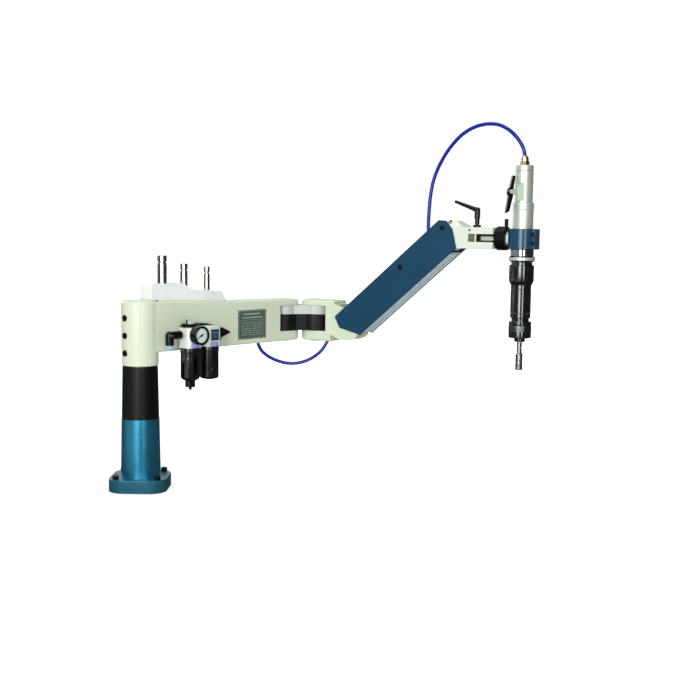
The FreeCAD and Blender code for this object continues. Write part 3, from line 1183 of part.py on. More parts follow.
# ---------------------------------------------------------------- chuck
def chuck_sleeve():
    """Black clutch sleeve with its stub up in the nut."""
    top = NUT_LOW_Z - GAP
    profile = [(0, SLEEVE_CONE_Z), (CHUCK_R + 0.8, SLEEVE_CONE_Z), (CHUCK_SLEEVE_R, SLEEVE_LOW_Z),
               (CHUCK_SLEEVE_R, SLEEVE_HIGH_Z - 1), (CHUCK_SLEEVE_R - 1, SLEEVE_HIGH_Z),
               (CHUCK_NECK_R, SLEEVE_HIGH_Z),
               (CHUCK_NECK_R, top), (9, top), (9, top + 16), (0, top + 16)]
    return lathe(profile)


def chuck_body():
    """Black chuck body down to the nose, with grooves and the adapter's bore."""
    inner = COLLAR_R - COLLAR_WALL
    shoulder = COLLAR_LOW_Z + COLLAR_LIP + COLLAR_TRAVEL + GAP
    profile = [(0, NOSE_LOW_Z), (NOSE_R - 1, NOSE_LOW_Z), (NOSE_R, NOSE_LOW_Z + 1), (NOSE_R, shoulder),
               (inner, shoulder), (inner, CHUCK_LOW_Z), (CHUCK_R - 1, CHUCK_LOW_Z),
               (CHUCK_R, CHUCK_LOW_Z + 1),
               (CHUCK_R, SLEEVE_CONE_Z), (0, SLEEVE_CONE_Z)]
    body = lathe(profile)
    for z in (CHUCK_LOW_Z + 10, CHUCK_LOW_Z + 60):
        body = body.cut(upright(CHUCK_R + 1, z, z + 1).cut(upright(CHUCK_R - 0.7, z, z + 1)))
    return body.cut(upright(ADAPTER_SHANK_R + 2.2, NOSE_LOW_Z - 1, NOSE_LOW_Z + 34))


def release_collar():
    """Knurled quick-change collar; it slides up the chuck body to free the adapter."""
    bore = COLLAR_R - COLLAR_WALL + 2 * RUN
    band_low = COLLAR_LOW_Z + 15
    band_high = COLLAR_LOW_Z + 28
    profile = [(COLLAR_R - 1.5, COLLAR_LOW_Z), (COLLAR_R, COLLAR_LOW_Z + 1.5), (COLLAR_R, band_low - 0.5),
               (COLLAR_R - 1, band_low), (COLLAR_R - 1, band_high), (COLLAR_R, band_high + 0.5),
               (COLLAR_R, COLLAR_HIGH_Z - 1.5), (COLLAR_R - 1.5, COLLAR_HIGH_Z), (bore, COLLAR_HIGH_Z),
               (bore, COLLAR_LOW_Z + COLLAR_LIP), (NOSE_R + GAP, COLLAR_LOW_Z + COLLAR_LIP),
               (NOSE_R + GAP, COLLAR_LOW_Z)]
    return lathe(profile)


def fitted_tap_adapter():
    """The tap adapter in the chuck: shank, stop collar and the tap's socket."""
    low = ADAPTER_LOW_Z
    head = NOSE_LOW_Z + 33.5
    body = union(upright(ADAPTER_SHANK_R + 2.2 - RUN, NOSE_LOW_Z + 2, head),
                 upright(ADAPTER_SHANK_R, ADAPTER_STEP_Z - 2, NOSE_LOW_Z + 3),
                 lathe([(0, low), (ADAPTER_SOCKET_R - 0.8, low), (ADAPTER_SOCKET_R, low + 0.8),
                        (ADAPTER_SOCKET_R, ADAPTER_STEP_Z - 3), (ADAPTER_SHANK_R, ADAPTER_STEP_Z),
                        (0, ADAPTER_STEP_Z)]))
    return body.cut(upright(TAP_SHANK_R, low - 1, low + TAP_DEPTH))


# ---------------------------------------------------------------- hoses
# Routes in world millimetres, each from the hole it leaves to the hole or fitting it enters.
LOWER_HOSE = ((225.7, 242.1, 291.0), (229.7, 242.9, 273.5), (244.9, 245.9, 257.5), (266.9, 250.4, 245.0),
              (292.4, 255.6, 237.5), (319.3, 261.0, 237.4), (344.8, 266.2, 245.3), (366.4, 270.5, 260.0),
              (380.1, 273.3, 276.0), (387.0, 274.7, 291.0))
UPPER_HOSE = ((609.1, 168.2, 537.0), (608.5, 168.6, 562.0), (609.7, 167.9, 594.0), (611.8, 166.7, 627.0),
              (617.9, 163.2, 662.0), (631.5, 155.3, 697.0), (651.8, 143.6, 731.5), (679.1, 127.8, 761.0),
              (712.0, 108.8, 776.5), (745.8, 89.3, 777.0), (770.1, 75.3, 763.0), (785.6, 66.3, 746.0),
              (796.0, 60.3, 729.0), (801.3, 57.3, 713.0), (801.3, 57.3, 697.0))


def hose(name, points):
    """A tube along straight runs joined by tangent arcs, each as large as its two runs allow."""
    corners = [vec(*point) for point in points]
    edges = []
    radii = []
    here = corners[0]
    for before, corner, after in zip(corners, corners[1:], corners[2:]):
        back = before - corner
        on = after - corner
        reach = 0.45 * min(back.Length, on.Length)
        back.normalize()
        on.normalize()
        half = back.getAngle(on) / 2
        radius = reach * math.tan(half)
        radii.append(radius)
        middle = back + on
        middle.normalize()
        start = corner + back * reach
        end = corner + on * reach
        edges.append(Part.LineSegment(here, start).toShape())
        edges.append(Part.Arc(start, corner + middle * (radius / math.sin(half) - radius), end).toShape())
        here = end
    edges.append(Part.LineSegment(here, corners[-1]).toShape())
    path = Part.Wire(edges)
    ring = Part.Wire([Part.makeCircle(HOSE_D / 2, corners[0], corners[1] - corners[0])])
    tube = path.makePipeShell([ring], True, False)
    ratio = tube.Volume / (math.pi * (HOSE_D / 2) ** 2 * path.Length)
    print(f"{name}: length {path.Length:.1f}, radii {[round(r) for r in radii]}, volume ratio {ratio:.4f}")
    return tube


# ---------------------------------------------------------------- the whole machine
def build():
    keep("base_flange", base_flange(), BASE)
    keep("levelling_screws", levelling_screws(), BASE)
    keep("column", column(), BASE)
    keep("column_sleeve", column_sleeve(), BASE)
    keep("main_spindle", main_spindle(), BASE)
    keep("spindle_nut", spindle_nut(), BASE)

    keep("first_arm", first_arm(), ARM1)
    keep("hub_bushes", hub_bushes(), ARM1)
    keep("hub_cap", hub_cap(), ARM1)
    keep("hub_plugs", hub_plugs(), ARM1)
    keep("tool_tray", tool_tray(), ARM1)
    keep("nameplate", nameplate(), ARM1)
    keep("frl_bracket", frl_bracket(), ARM1)
    keep("regulator_body", regulator_body(), ARM1)
    keep("lubricator_body", lubricator_body(), ARM1)
    keep("filter_guard", filter_guard(), ARM1)
    keep("lubricator_guard", lubricator_guard(), ARM1)
    keep("bowl_rings", bowl_rings(), ARM1)
    keep("gauge_case", gauge_case(), ARM1)
    keep("inlet_elbow", inlet_elbow(), ARM1)
    keep("inner_elbow_pin", put(inner_elbow_pin(), moved(ARM1_L)), ARM1)
    for name, x, radius, height, drive_r in ADAPTERS:
        keep(name, tap_adapter(x, radius, height, drive_r), ARM1)
    keep("drain_cock", drain_cock(), ARM1)
    keep("regulator_knob", regulator_knob(), ARM1)
    keep("gauge_needle", gauge_needle(), ARM1)
    keep("release_ring", release_ring(), ARM1)

    keep("elbow_link", elbow_link(), LINK)
    keep("elbow_plate", elbow_plate(), LINK)
    keep("elbow_bushes", elbow_bushes(), LINK)

    keep("knuckle", knuckle(), ARM2)
    keep("outer_elbow_pin", inner_elbow_pin(), ARM2)
    keep("upper_link", upper_link(), UPPER)
    keep("upper_link_pins", upper_link_pins(), UPPER)
    keep("near_cover", cover(-1), UPPER)
    keep("far_cover", cover(1), UPPER)
    keep("cover_screws", cover_screws(), UPPER)
    keep("underside_plate", underside_plate(), UPPER)
    keep("lower_link", lower_link(), LOWER)
    keep("gas_spring_cylinder", gas_spring_cylinder(), SPRING)
    keep("gas_spring_rod", gas_spring_rod(), SPRING)

    keep("head_block", head_block(), ARM2)
    keep("clamp_lever", clamp_lever(), ARM2)
    keep("index_ring", index_ring(), ARM2)
    keep("index_pin", index_pin(), ARM2)
    keep("tilt_shaft", tilt_shaft(), ARM2)
    keep("motor_clamp", motor_clamp(), TOOL)
    keep("clamp_screws", clamp_screws(), TOOL)
    keep("motor_barrel", motor_barrel(), TOOL)
    keep("motor_head", motor_head(), PLUMB)
    keep("throttle_lever", throttle_lever(), PLUMB)
    keep("air_fitting", air_fitting(), TOOL)
    keep("motor_nut", motor_nut(), TOOL)
    keep("chuck_sleeve", chuck_sleeve(), TOOL)
    keep("chuck_body", chuck_body(), TOOL)
    keep("release_collar", release_collar(), TOOL)
    keep("fitted_tap_adapter", fitted_tap_adapter(), TOOL)

    keep("lower_hose", hose("lower_hose", LOWER_HOSE), BASE)
    keep("upper_hose", hose("upper_hose", UPPER_HOSE), BASE)


def check(name, shape):
    solids = shape.Solids
    good = bool(solids) and all(s.isValid() and s.Volume > 0 for s in solids)
    volume = sum(s.Volume for s in solids)
    print(f"{name:22s} solids {len(solids):2d} volume {volume:12.1f} {'ok' if good else 'BAD'}")


os.makedirs("parts", exist_ok=True)
build()
for node, solid in NODES.items():
    check(node, solid)
    solid.exportStep(f"parts/{node}.step")
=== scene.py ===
"""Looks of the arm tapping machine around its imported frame: finishes, rounded edges, hoses, dial and knurls.

Metres, +Z up, in the frame's own axes. Sizes in millimetres go through mm() or are multiplied by MM, and a
named size is in millimetres unless its comment says otherwise.
"""
import json
import math
import random
import bmesh
import bpy
from mathutils import Matrix, Vector
from mathutils.bvhtree import BVHTree
from mathutils.geometry import intersect_point_line


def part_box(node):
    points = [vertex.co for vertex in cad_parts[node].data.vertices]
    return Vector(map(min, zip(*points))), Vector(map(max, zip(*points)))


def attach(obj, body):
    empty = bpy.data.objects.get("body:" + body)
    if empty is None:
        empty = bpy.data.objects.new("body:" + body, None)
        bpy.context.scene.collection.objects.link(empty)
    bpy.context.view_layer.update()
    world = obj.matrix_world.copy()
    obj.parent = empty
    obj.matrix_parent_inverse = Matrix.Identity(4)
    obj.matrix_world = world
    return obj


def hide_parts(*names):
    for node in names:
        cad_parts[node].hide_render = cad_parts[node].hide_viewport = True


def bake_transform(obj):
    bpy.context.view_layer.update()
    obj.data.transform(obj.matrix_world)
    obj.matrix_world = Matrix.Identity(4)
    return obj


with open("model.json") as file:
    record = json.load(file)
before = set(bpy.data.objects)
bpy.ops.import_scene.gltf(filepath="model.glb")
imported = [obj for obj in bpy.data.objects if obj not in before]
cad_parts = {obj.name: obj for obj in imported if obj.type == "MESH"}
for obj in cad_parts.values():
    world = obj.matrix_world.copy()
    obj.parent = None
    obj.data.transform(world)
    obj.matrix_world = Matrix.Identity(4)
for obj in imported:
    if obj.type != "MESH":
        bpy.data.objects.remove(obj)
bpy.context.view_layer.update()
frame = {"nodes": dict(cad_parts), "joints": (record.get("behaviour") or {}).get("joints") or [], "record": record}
NODES = frame["nodes"]
RECORD = frame["record"]
SLOT_OF = {part["node"]: part["material_slot"] for part in RECORD["subparts"]}
BODY_OF = {node: body for body, nodes in RECORD["behaviour"]["bodies"].items() for node in nodes}
JOINTS = {joint["name"]: joint for joint in frame["joints"]}
MM = 0.001
UP = Vector((0, 0, 1))
UNIT_PITCH = 52.0           # from the regulator's axis to the lubricator's


# ---------------------------------------------------------------- places, read from the frame
def mm(x, y, z):
    return Vector((x, y, z)) * MM


def joint_at(name):
    return Vector(JOINTS[name]["pos_m"])


def joint_axis(name):
    return Vector(JOINTS[name]["axis"]).normalized()


def axes_at(origin, x_axis, z_axis=UP):
    """The placement with its origin and x axis there, and z as near z_axis as it can be."""
    x = x_axis.normalized()
    y = z_axis.cross(x).normalized()
    return Matrix.Translation(origin) @ Matrix((x, y, x.cross(y))).transposed().to_4x4()


def level(point):
    return Vector((point.x, point.y, 0))


def box_centre(node):
    low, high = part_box(node)
    return (Vector(low) + Vector(high)) / 2


def low_z(node):
    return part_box(node)[0][2]


def high_z(node):
    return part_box(node)[1][2]


ARM1 = axes_at(Vector(), level(joint_at("elbow_inner")))
ARM2 = axes_at(level(joint_at("elbow_outer")), joint_axis("head_tilt"))
TOOL = axes_at(level(joint_at("spindle_spin")), joint_axis("head_tilt"))
ARM1_X = ARM1.to_3x3() @ Vector((1, 0, 0))
ARM1_Y = ARM1.to_3x3() @ Vector((0, 1, 0))
ARM2_X = ARM2.to_3x3() @ Vector((1, 0, 0))
ARM2_Y = ARM2.to_3x3() @ Vector((0, 1, 0))
UNIT_AT = level(joint_at("pressure_knob_turn"))
UNIT2_AT = UNIT_AT + ARM1_X * UNIT_PITCH * MM
DIAL = axes_at(joint_at("pointer_turn"), ARM1_X, -joint_axis("pointer_turn"))


# ---------------------------------------------------------------- materials
PEEL_SCALE = 650            # noise scales, per metre: orange peel in sprayed paint
MARK_SCALE = 900            # tool marks, and the grain of an oxide
SPARK_SCALE = 1800          # spark-eroded skin of a moulding


def linear(r, g, b):
    """An sRGB colour of 0 to 255 as linear values."""
    def one(v):
        v /= 255
        return v / 12.92 if v <= 0.04045 else ((v + 0.055) / 1.055) ** 2.4
    return one(r), one(g), one(b), 1.0


class Shader:
    """A Principled material and the nodes in front of it."""

    def __init__(self, name, colour, metallic, roughness, **sockets):
        self.material = bpy.data.materials.new(name)
        self.material.use_nodes = True
        self.tree = self.material.node_tree
        self.bsdf = self.tree.nodes["Principled BSDF"]
        self.colour = colour
        self.set(self.bsdf, {"Base Color": colour, "Metallic": metallic, "Roughness": roughness, **sockets})
        self.place = self.add("ShaderNodeTexCoord").outputs["Object"]

    def add(self, kind, values=None, **settings):
        node = self.tree.nodes.new(kind)
        for key, value in settings.items():
            setattr(node, key, value)
        self.set(node, values or {})
        return node

    def set(self, node, values):
        for key, value in values.items():
            if isinstance(value, bpy.types.NodeSocket):
                self.tree.links.new(value, node.inputs[key])
            else:
                node.inputs[key].default_value = value

    def stretched(self, scale):
        return self.add("ShaderNodeMapping", {"Vector": self.place, "Scale": scale}).outputs["Vector"]

    def noise(self, scale, detail, vector=None):
        values = {"Vector": vector or self.place, "Scale": scale, "Detail": detail}
        return self.add("ShaderNodeTexNoise", values).outputs["Fac"]

    def ramp(self, fac, low, high, out_low=0.0, out_high=1.0):
        values = {"Value": fac, "From Min": low, "From Max": high, "To Min": out_low, "To Max": out_high}
        return self.add("ShaderNodeMapRange", values).outputs["Result"]

    def mix(self, fac, one, other):
        """The colour between one and other. The node's socket names repeat, so they go by number."""
        node = self.add("ShaderNodeMix", {0: fac, 6: one, 7: other}, data_type="RGBA")
        return node.outputs[2]

    def tint(self, scale, spread, vector=None):
        """Base colour that drifts by spread either way."""
        dark = tuple(c * (1 - spread) for c in self.colour[:3]) + (1,)
        light = tuple(min(1, c * (1 + spread)) for c in self.colour[:3]) + (1,)
        drift = self.mix(self.ramp(self.noise(scale, 4.0, vector), 0.3, 0.7), dark, light)
        self.set(self.bsdf, {"Base Color": drift})
        return drift

    def edge_wear_and_shade(self, base, colour, share, scale=90, reach=0.0009):
        """Corners and edges turned to colour, in patches: rubbed wear in most finishes, painted shade along the
        cover's edges.
        """
        soft = self.add("ShaderNodeBevel", {"Radius": reach}, samples=3).outputs[0]
        true = self.add("ShaderNodeNewGeometry").outputs["Normal"]
        turn = self.add("ShaderNodeVectorMath", {0: soft, 1: true}, operation="DOT_PRODUCT").outputs["Value"]
        edge = self.ramp(turn, 0.97, 0.85)
        patch = self.ramp(self.noise(scale, 5.0), 1 - share, 1.1 - share)
        both = self.add("ShaderNodeMath", {0: edge, 1: patch}, operation="MULTIPLY").outputs[0]
        self.set(self.bsdf, {"Base Color": self.mix(both, base, colour)})

    def uneven_gloss(self, low, high, scale, vector=None):
        self.set(self.bsdf, {"Roughness": self.ramp(self.noise(scale, 5.0, vector), 0.3, 0.7, low, high)})

    def bump(self, height, strength, distance):
        normal = self.add("ShaderNodeBump", {"Height": height, "Strength": strength, "Distance": distance})
        self.set(self.bsdf, {"Normal": normal.outputs["Normal"]})


def coated(weight, roughness, specular=0.5):
    """Sockets of a clear coat and of the gloss beneath it."""
    return {"Coat Weight": weight, "Coat Roughness": roughness, "Specular IOR Level": specular}


def rubbed(colour, share, lift):
    """A colour as it looks where it is rubbed."""
    return tuple(share * c + lift for c in colour[:3]) + (1,)


def enamel(name, colour, roughness, peel=0.12, spread=0.04, coat=0.35, metallic=0.0, specular=0.5):
    """Sprayed paint: slight orange peel, colour drift, rubbed edges and a clear coat."""
    shader = Shader(name, colour, metallic, roughness, **coated(coat, 0.14, specular))
    shader.edge_wear_and_shade(shader.tint(9, spread), rubbed(colour, 0.6, 0.22), 0.42)
    shader.uneven_gloss(roughness - 0.05, roughness + 0.08, 22)
    shader.bump(shader.noise(PEEL_SCALE, 2.0), peel, 0.0002)
    return shader.material


def bare_metal(name, colour, roughness, spread=0.06, grain=(1, 1, 14), metallic=1.0, marks=0.06):
    """Turned or ground metal with fine marks across the grain's long axes."""
    shader = Shader(name, colour, metallic, roughness)
    lines = shader.stretched(grain)
    shader.edge_wear_and_shade(shader.tint(60, spread, lines), rubbed(colour, 0.7, 0.28), 0.4)
    shader.uneven_gloss(max(0.03, roughness - 0.03), roughness + 0.05, 120, lines)
    shader.bump(shader.noise(MARK_SCALE, 3.0, lines), marks, 0.00004)
    return shader.material


def plastic(name, colour, roughness, texture=0.1, specular=0.5, coat=0.0):
    """Moulded plastic with a fine spark-eroded skin."""
    shader = Shader(name, colour, 0.0, roughness, **coated(coat, 0.08, specular))
    shader.tint(25, 0.06)
    shader.uneven_gloss(roughness - 0.03, roughness + 0.06, 45)
    shader.bump(shader.noise(SPARK_SCALE, 2.0), texture, 0.00006)
    return shader.material


def oxide(name, colour, roughness, metallic=0.3, specular=0.5, coat=0.0):
    """Black oxide on steel, oiled, rubbed bright along its edges and a little uneven."""
    shader = Shader(name, colour, metallic, roughness, **coated(coat, 0.1, specular))
    patch = shader.ramp(shader.noise(55, 6.0), 0.55, 0.8)
    clouded = shader.mix(patch, colour, rubbed(colour, 1.6, 0.002))
    shader.edge_wear_and_shade(clouded, (0.16, 0.16, 0.15, 1), 0.5, 60)
    shader.uneven_gloss(roughness - 0.04, roughness + 0.08, 70)
    shader.bump(shader.noise(MARK_SCALE, 2.0), 0.05, 0.00005)
    return shader.material


def flat_paint(name, colour, metallic, roughness, drift, **sockets):
    """A smooth finish. drift is the scale and the spread of its tint."""
    shader = Shader(name, colour, metallic, roughness, **sockets)
    shader.tint(*drift)
    return shader.material


def tube_skin():
    """The hoses' polyurethane: clouded a little in colour and in gloss."""
    shader = Shader("hose_skin", linear(12, 36, 150), 0.0, 0.2,
                    **{"Coat Weight": 0.3, "Specular IOR Level": 0.4})
    shader.tint(30, 0.08)
    shader.uneven_gloss(0.16, 0.28, 60)
    return shader.material


def cover_paint():
    """Flat blue sheet paint, with painted shade darkening it along all its edges where the hems fall into shade.
    """
    shader = Shader("cover_enamel", linear(19, 66, 95), 0.0, 0.5, **{"Specular IOR Level": 0.2})
    # painted shade: every edge turns this dark navy, standing in for the shaded hems
    shader.edge_wear_and_shade(shader.tint(9, 0.06), linear(8, 26, 44), 1.0, reach=0.0022)
    shader.uneven_gloss(0.42, 0.56, 22)
    shader.bump(shader.noise(PEEL_SCALE, 2.0), 0.05, 0.0002)
    return shader.material


def plate_paint():
    """Satin paint with its gloss in short upright streaks."""
    shader = Shader("plate_enamel", linear(206, 212, 206), 0.25, 0.5)
    shader.tint(40, 0.06)
    shader.uneven_gloss(0.42, 0.58, 40, shader.stretched((1, 1, 9)))
    return shader.material


def slot_materials():
    """The finish of each of the record's material slots."""
    return {
        "blue_metal": enamel("blue_enamel", linear(68, 173, 211), 0.3, peel=0.04, spread=0.05, coat=0.25,
                             metallic=0.9),
        "cover_blue": cover_paint(),
        "clamp_blue": enamel("clamp_enamel", linear(22, 72, 98), 0.24, peel=0.08, metallic=0.15),
        "cream_metal": enamel("cream_enamel", linear(218, 228, 204), 0.36, peel=0.2, spread=0.02, coat=0.2),
        "grey_metal": enamel("grey_enamel", linear(206, 224, 240), 0.38, peel=0.08, spread=0.05, coat=0.2,
                             metallic=0.2),
        "black_metal": enamel("black_enamel", linear(7, 12, 13), 0.4, spread=0.1, coat=0.1, specular=0.3),
        "dark_metal": enamel("dark_enamel", linear(10, 12, 13), 0.38, spread=0.1, coat=0.0, specular=0.3),
        "steel": bare_metal("turned_steel", (0.52, 0.53, 0.54, 1), 0.3),
        "bright_steel": bare_metal("ground_steel", (0.6, 0.61, 0.56, 1), 0.2),
        "chrome_steel": bare_metal("polished_steel", (0.66, 0.67, 0.62, 1), 0.12, spread=0.02, marks=0.01),
        "bronze": bare_metal("bronze", (0.55, 0.36, 0.16, 1), 0.3),
        "brass": bare_metal("brass", (0.86, 0.7, 0.4, 1), 0.27),
        "unit_alloy": enamel("silver_paint", linear(234, 240, 238), 0.42, peel=0.1, spread=0.02, coat=0.2,
                             metallic=0.25),
        "motor_alloy": bare_metal("satin_alloy", linear(222, 234, 220), 0.42, spread=0.03, grain=(1, 1, 20),
                                  metallic=0.62),
        "nameplate_metal": bare_metal("plate_alloy", linear(100, 116, 108), 0.42, spread=0.1,
                                      grain=(12, 12, 1), metallic=0.4),
        "needle_metal": enamel("needle_paint", linear(9, 10, 11), 0.4),
        "black_plastic": plastic("black_moulding", linear(6, 7, 8), 0.22, texture=0.06, specular=0.4,
                                 coat=0.15),
        "black_screw": oxide("screw_oxide", linear(12, 13, 15), 0.3),
        "lever_plastic": plastic("lever_moulding", linear(8, 9, 10), 0.28, texture=0.15),
        "chuck_black": oxide("chuck_oxide", linear(13, 16, 17), 0.15, metallic=0.05, specular=1.0, coat=0.8),
        "tray_plastic": plastic("tray_moulding", linear(242, 246, 244), 0.45),
        "ring_plastic": plastic("ring_moulding", linear(168, 166, 236), 0.3),
        "pale_plastic": plastic("release_moulding", linear(160, 196, 228), 0.35),
        "hose_blue": tube_skin(),
    }


def own_materials():
    """Finishes of details and nodes that differ from their slot's, by name."""
    made = (
        flat_paint("plate_print", linear(176, 194, 184), 0.3, 0.45, (90, 0.1)),
        flat_paint("dial_paint", linear(226, 242, 236), 0.0, 0.3, (60, 0.03), **coated(0.4, 0.05)),
        flat_paint("dial_ink", linear(40, 60, 54), 0.0, 0.45, (80, 0.1)),
        flat_paint("sight_glass", linear(54, 80, 116), 0.0, 0.12, (70, 0.35), **coated(0.6, 0.04)),
        # painted highlight across the sight window
        flat_paint("sight_band_highlight", linear(96, 126, 156), 0.2, 0.25, (60, 0.12)),
        flat_paint("clear_dome", linear(170, 190, 168), 0.1, 0.12, (60, 0.1), **coated(0.7, 0.05)),
        plate_paint(),
        bare_metal("rubbed_knurl", (0.2, 0.21, 0.21, 1), 0.22, spread=0.1, grain=(30, 30, 1)),
        bare_metal("satin_ring", linear(226, 238, 226), 0.38, spread=0.03, grain=(1, 1, 20), metallic=0.6),
        bare_metal("shaft_alloy", linear(240, 246, 240), 0.45, spread=0.03, grain=(1, 1, 20), metallic=0.15),
        # painted shade: a darker, less metallic copy of the column's blue enamel for the base flange
        enamel("foot_shaded_enamel", linear(36, 104, 126), 0.34, spread=0.08, coat=0.1, metallic=0.45),
        # painted shade of the underside's grooves, then painted highlight of its ribs
        enamel("seam_shade_enamel", linear(62, 74, 82), 0.4, peel=0.05, spread=0.05, coat=0.1),
        enamel("rib_highlight_enamel", linear(232, 240, 240), 0.35, peel=0.05, spread=0.03, coat=0.2),
        # painted light: a whiter copy of the cream enamel for the head, which shows lighter than the arm
        enamel("head_lit_enamel", linear(226, 233, 218), 0.36, peel=0.2, spread=0.02, coat=0.2),
        enamel("ring_enamel", linear(4, 6, 7), 0.45, peel=0.1, spread=0.1, coat=0.05, specular=0.2),
        # painted shade on the jaw slot's walls
        enamel("slot_shade_enamel", linear(8, 10, 11), 0.5, peel=0.05, spread=0.05, coat=0.0, specular=0.2),
        enamel("ribbed_insert", linear(122, 138, 112), 0.5, peel=0.05, spread=0.08, coat=0.05, metallic=0.2),
        plastic("bowl_moulding", linear(7, 8, 9), 0.12, texture=0.05, specular=1.0, coat=1.0),
        plastic("knob_moulding", linear(3, 4, 5), 0.5, specular=0.15),
    )
    return {material.name: material for material in made}


MATERIALS = slot_materials()
OWN = own_materials()


# ---------------------------------------------------------------- pieces
SMOOTH_ANGLE = 35           # degrees: a made piece is smooth over flatter edges
SHARP_ANGLE = 32            # degrees: a CAD node's steeper edges are rounded
ROUNDING = 0.35             # width of most roundings
ROUND_STEPS = 2             # faces across a rounded edge
ROUND_TRIES = 5             # times that edges are left out before a node stays sharp


def from_bmesh(name, bm, slot, body, replaces=(), place=None, angle=SMOOTH_ANGLE, material=None):
    """A piece of the mesh, smooth but for edges over the angle, in its slot's finish or one of its own."""
    if place is not None:
        bmesh.ops.transform(bm, matrix=place, verts=bm.verts)
    bmesh.ops.recalc_face_normals(bm, faces=bm.faces)
    limit = math.radians(angle)
    for face in bm.faces:
        face.smooth = True
    for edge in bm.edges:
        edge.smooth = edge.is_manifold and edge.calc_face_angle(0.0) < limit
    mesh = bpy.data.meshes.new(name)
    bm.to_mesh(mesh)
    bm.free()
    mesh.materials.append(material or MATERIALS[slot])
    obj = bpy.data.objects.new(name, mesh)
    bpy.context.scene.collection.objects.link(obj)
    if body:
        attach(obj, body)
    if replaces:
        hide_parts(*replaces)
    return obj


def near_edge(point, edge, reach):
    ends = [v.co for v in edge.verts]
    at, share = intersect_point_line(point, *ends)
    nearest = ends[0] if share < 0 else ends[1] if share > 1 else at
    return (point - nearest).length < reach


def rounded_mesh(source, width):
    """source with its sharp edges rounded by width, leaving out edges whose rounding would stray off it."""
    tree = BVHTree.FromBMesh(source)
    limit = math.radians(SHARP_ANGLE)
    sharp = {edge.index for edge in source.edges if edge.is_manifold and edge.calc_face_angle(0.0) > limit}
    for _ in range(ROUND_TRIES):
        bm = source.copy()
        bm.edges.ensure_lookup_table()
        if not sharp:
            return bm
        bmesh.ops.bevel(bm, geom=[bm.edges[i] for i in sharp], offset=width, offset_type="OFFSET",
                        segments=ROUND_STEPS, profile=0.5, affect="EDGES", clamp_overlap=False,
                        loop_slide=True)
        far = [v.co.copy() for v in bm.verts if tree.find_nearest(v.co)[3] > 0.6 * width]
        if not far:
            return bm
        source.edges.ensure_lookup_table()
        sharp -= {i for i in sharp if any(near_edge(p, source.edges[i], 3 * width) for p in far)}
        bm.free()
    return source.copy()


def dressed(node, width, material):
    """The CAD node again, its flat faces merged and its sharp edges rounded by width millimetres."""
    source = bmesh.new()
    source.from_mesh(NODES[node].data)
    bmesh.ops.remove_doubles(source, verts=source.verts, dist=2e-6)
    bmesh.ops.dissolve_limit(source, angle_limit=math.radians(0.6), verts=source.verts, edges=source.edges)
    source.edges.index_update()
    bm = rounded_mesh(source, width * MM)
    source.free()
    obj = from_bmesh(node + "_finished", bm, SLOT_OF[node], BODY_OF[node], (node,), material=material)
    even = obj.modifiers.new("even_normals", "WEIGHTED_NORMAL")
    even.keep_sharp = True


def turned(bm, profile, steps=72, wave=None):
    """Adds the profile of (radius, height) in millimetres turned about z. wave(k) scales radii at step k."""
    rings = []
    for r, z in profile:
        if r == 0:
            rings.append([bm.verts.new(mm(0, 0, z))])
            continue
        ring = []
        for k in range(steps):
            a = 2 * math.pi * k / steps
            rr = r * (wave(k) if wave else 1)
            ring.append(bm.verts.new(mm(rr * math.cos(a), rr * math.sin(a), z)))
        rings.append(ring)
    for one, other in zip(rings, rings[1:]):
        for k in range(steps):
            n = (k + 1) % steps
            if len(one) == 1:
                bm.faces.new((one[0], other[k], other[n]))
            elif len(other) == 1:
                bm.faces.new((one[k], one[n], other[0]))
            else:
                bm.faces.new((one[k], one[n], other[n], other[k]))
    return bm


def brick(bm, low, high, cut=0.0):
    """Adds a box between two corners in millimetres, its edges rounded by cut."""
    made = bmesh.ops.create_cube(bm, size=1.0)["verts"]
    size = Vector(high) - Vector(low)
    middle = (Vector(high) + Vector(low)) / 2
    place = Matrix.Translation(middle * MM) @ Matrix.Diagonal((*(size * MM), 1))
    bmesh.ops.transform(bm, verts=made, matrix=place)
    if cut:
        edges = {edge for v in made for edge in v.link_edges}
        bmesh.ops.bevel(bm, geom=list(edges), offset=cut * MM, segments=ROUND_STEPS, profile=0.5,
                        affect="EDGES")


# ---------------------------------------------------------------- hoses
HOSE_D = 8.0 * MM           # metres
HOSE_SIDES = 20
ROUTE_STEPS = 16            # steps of the smooth line to each route point
LOWER_HOSE = ((225.7, 242.1, 291.0), (229.7, 242.9, 273.5), (244.9, 245.9, 257.5), (266.9, 250.4, 245.0),
              (292.4, 255.6, 237.5), (319.3, 261.0, 237.4), (344.8, 266.2, 245.3), (366.4, 270.5, 260.0),
              (380.1, 273.3, 276.0), (387.0, 274.7, 291.0))
UPPER_HOSE = ((609.1, 168.2, 537.0), (608.5, 168.6, 562.0), (609.7, 167.9, 594.0), (611.8, 166.7, 627.0),
              (617.9, 163.2, 662.0), (631.5, 155.3, 697.0), (651.8, 143.6, 731.5), (679.1, 127.8, 761.0),
              (712.0, 108.8, 776.5), (745.8, 89.3, 777.0), (770.1, 75.3, 763.0), (785.6, 66.3, 746.0),
              (796.0, 60.3, 729.0), (801.3, 57.3, 713.0), (801.3, 57.3, 697.0))


def route_points(name, route):
    """Points along the smooth curve that has the route's points as its control points."""
    curve = bpy.data.curves.new(name, "CURVE")
    curve.dimensions = "3D"
    curve.resolution_u = ROUTE_STEPS
    spline = curve.splines.new("NURBS")
    spline.points.add(len(route) - 1)
    for point, place in zip(spline.points, route):
        point.co = (*(v * MM for v in place), 1)
    spline.order_u = 3
    spline.use_endpoint_u = True
    obj = bpy.data.objects.new(name, curve)
    bpy.context.scene.collection.objects.link(obj)
    mesh = bpy.data.meshes.new_from_object(obj)
    points = [v.co.copy() for v in mesh.vertices]
    bpy.data.objects.remove(obj)
    bpy.data.curves.remove(curve)
    bpy.data.meshes.remove(mesh)
    return points


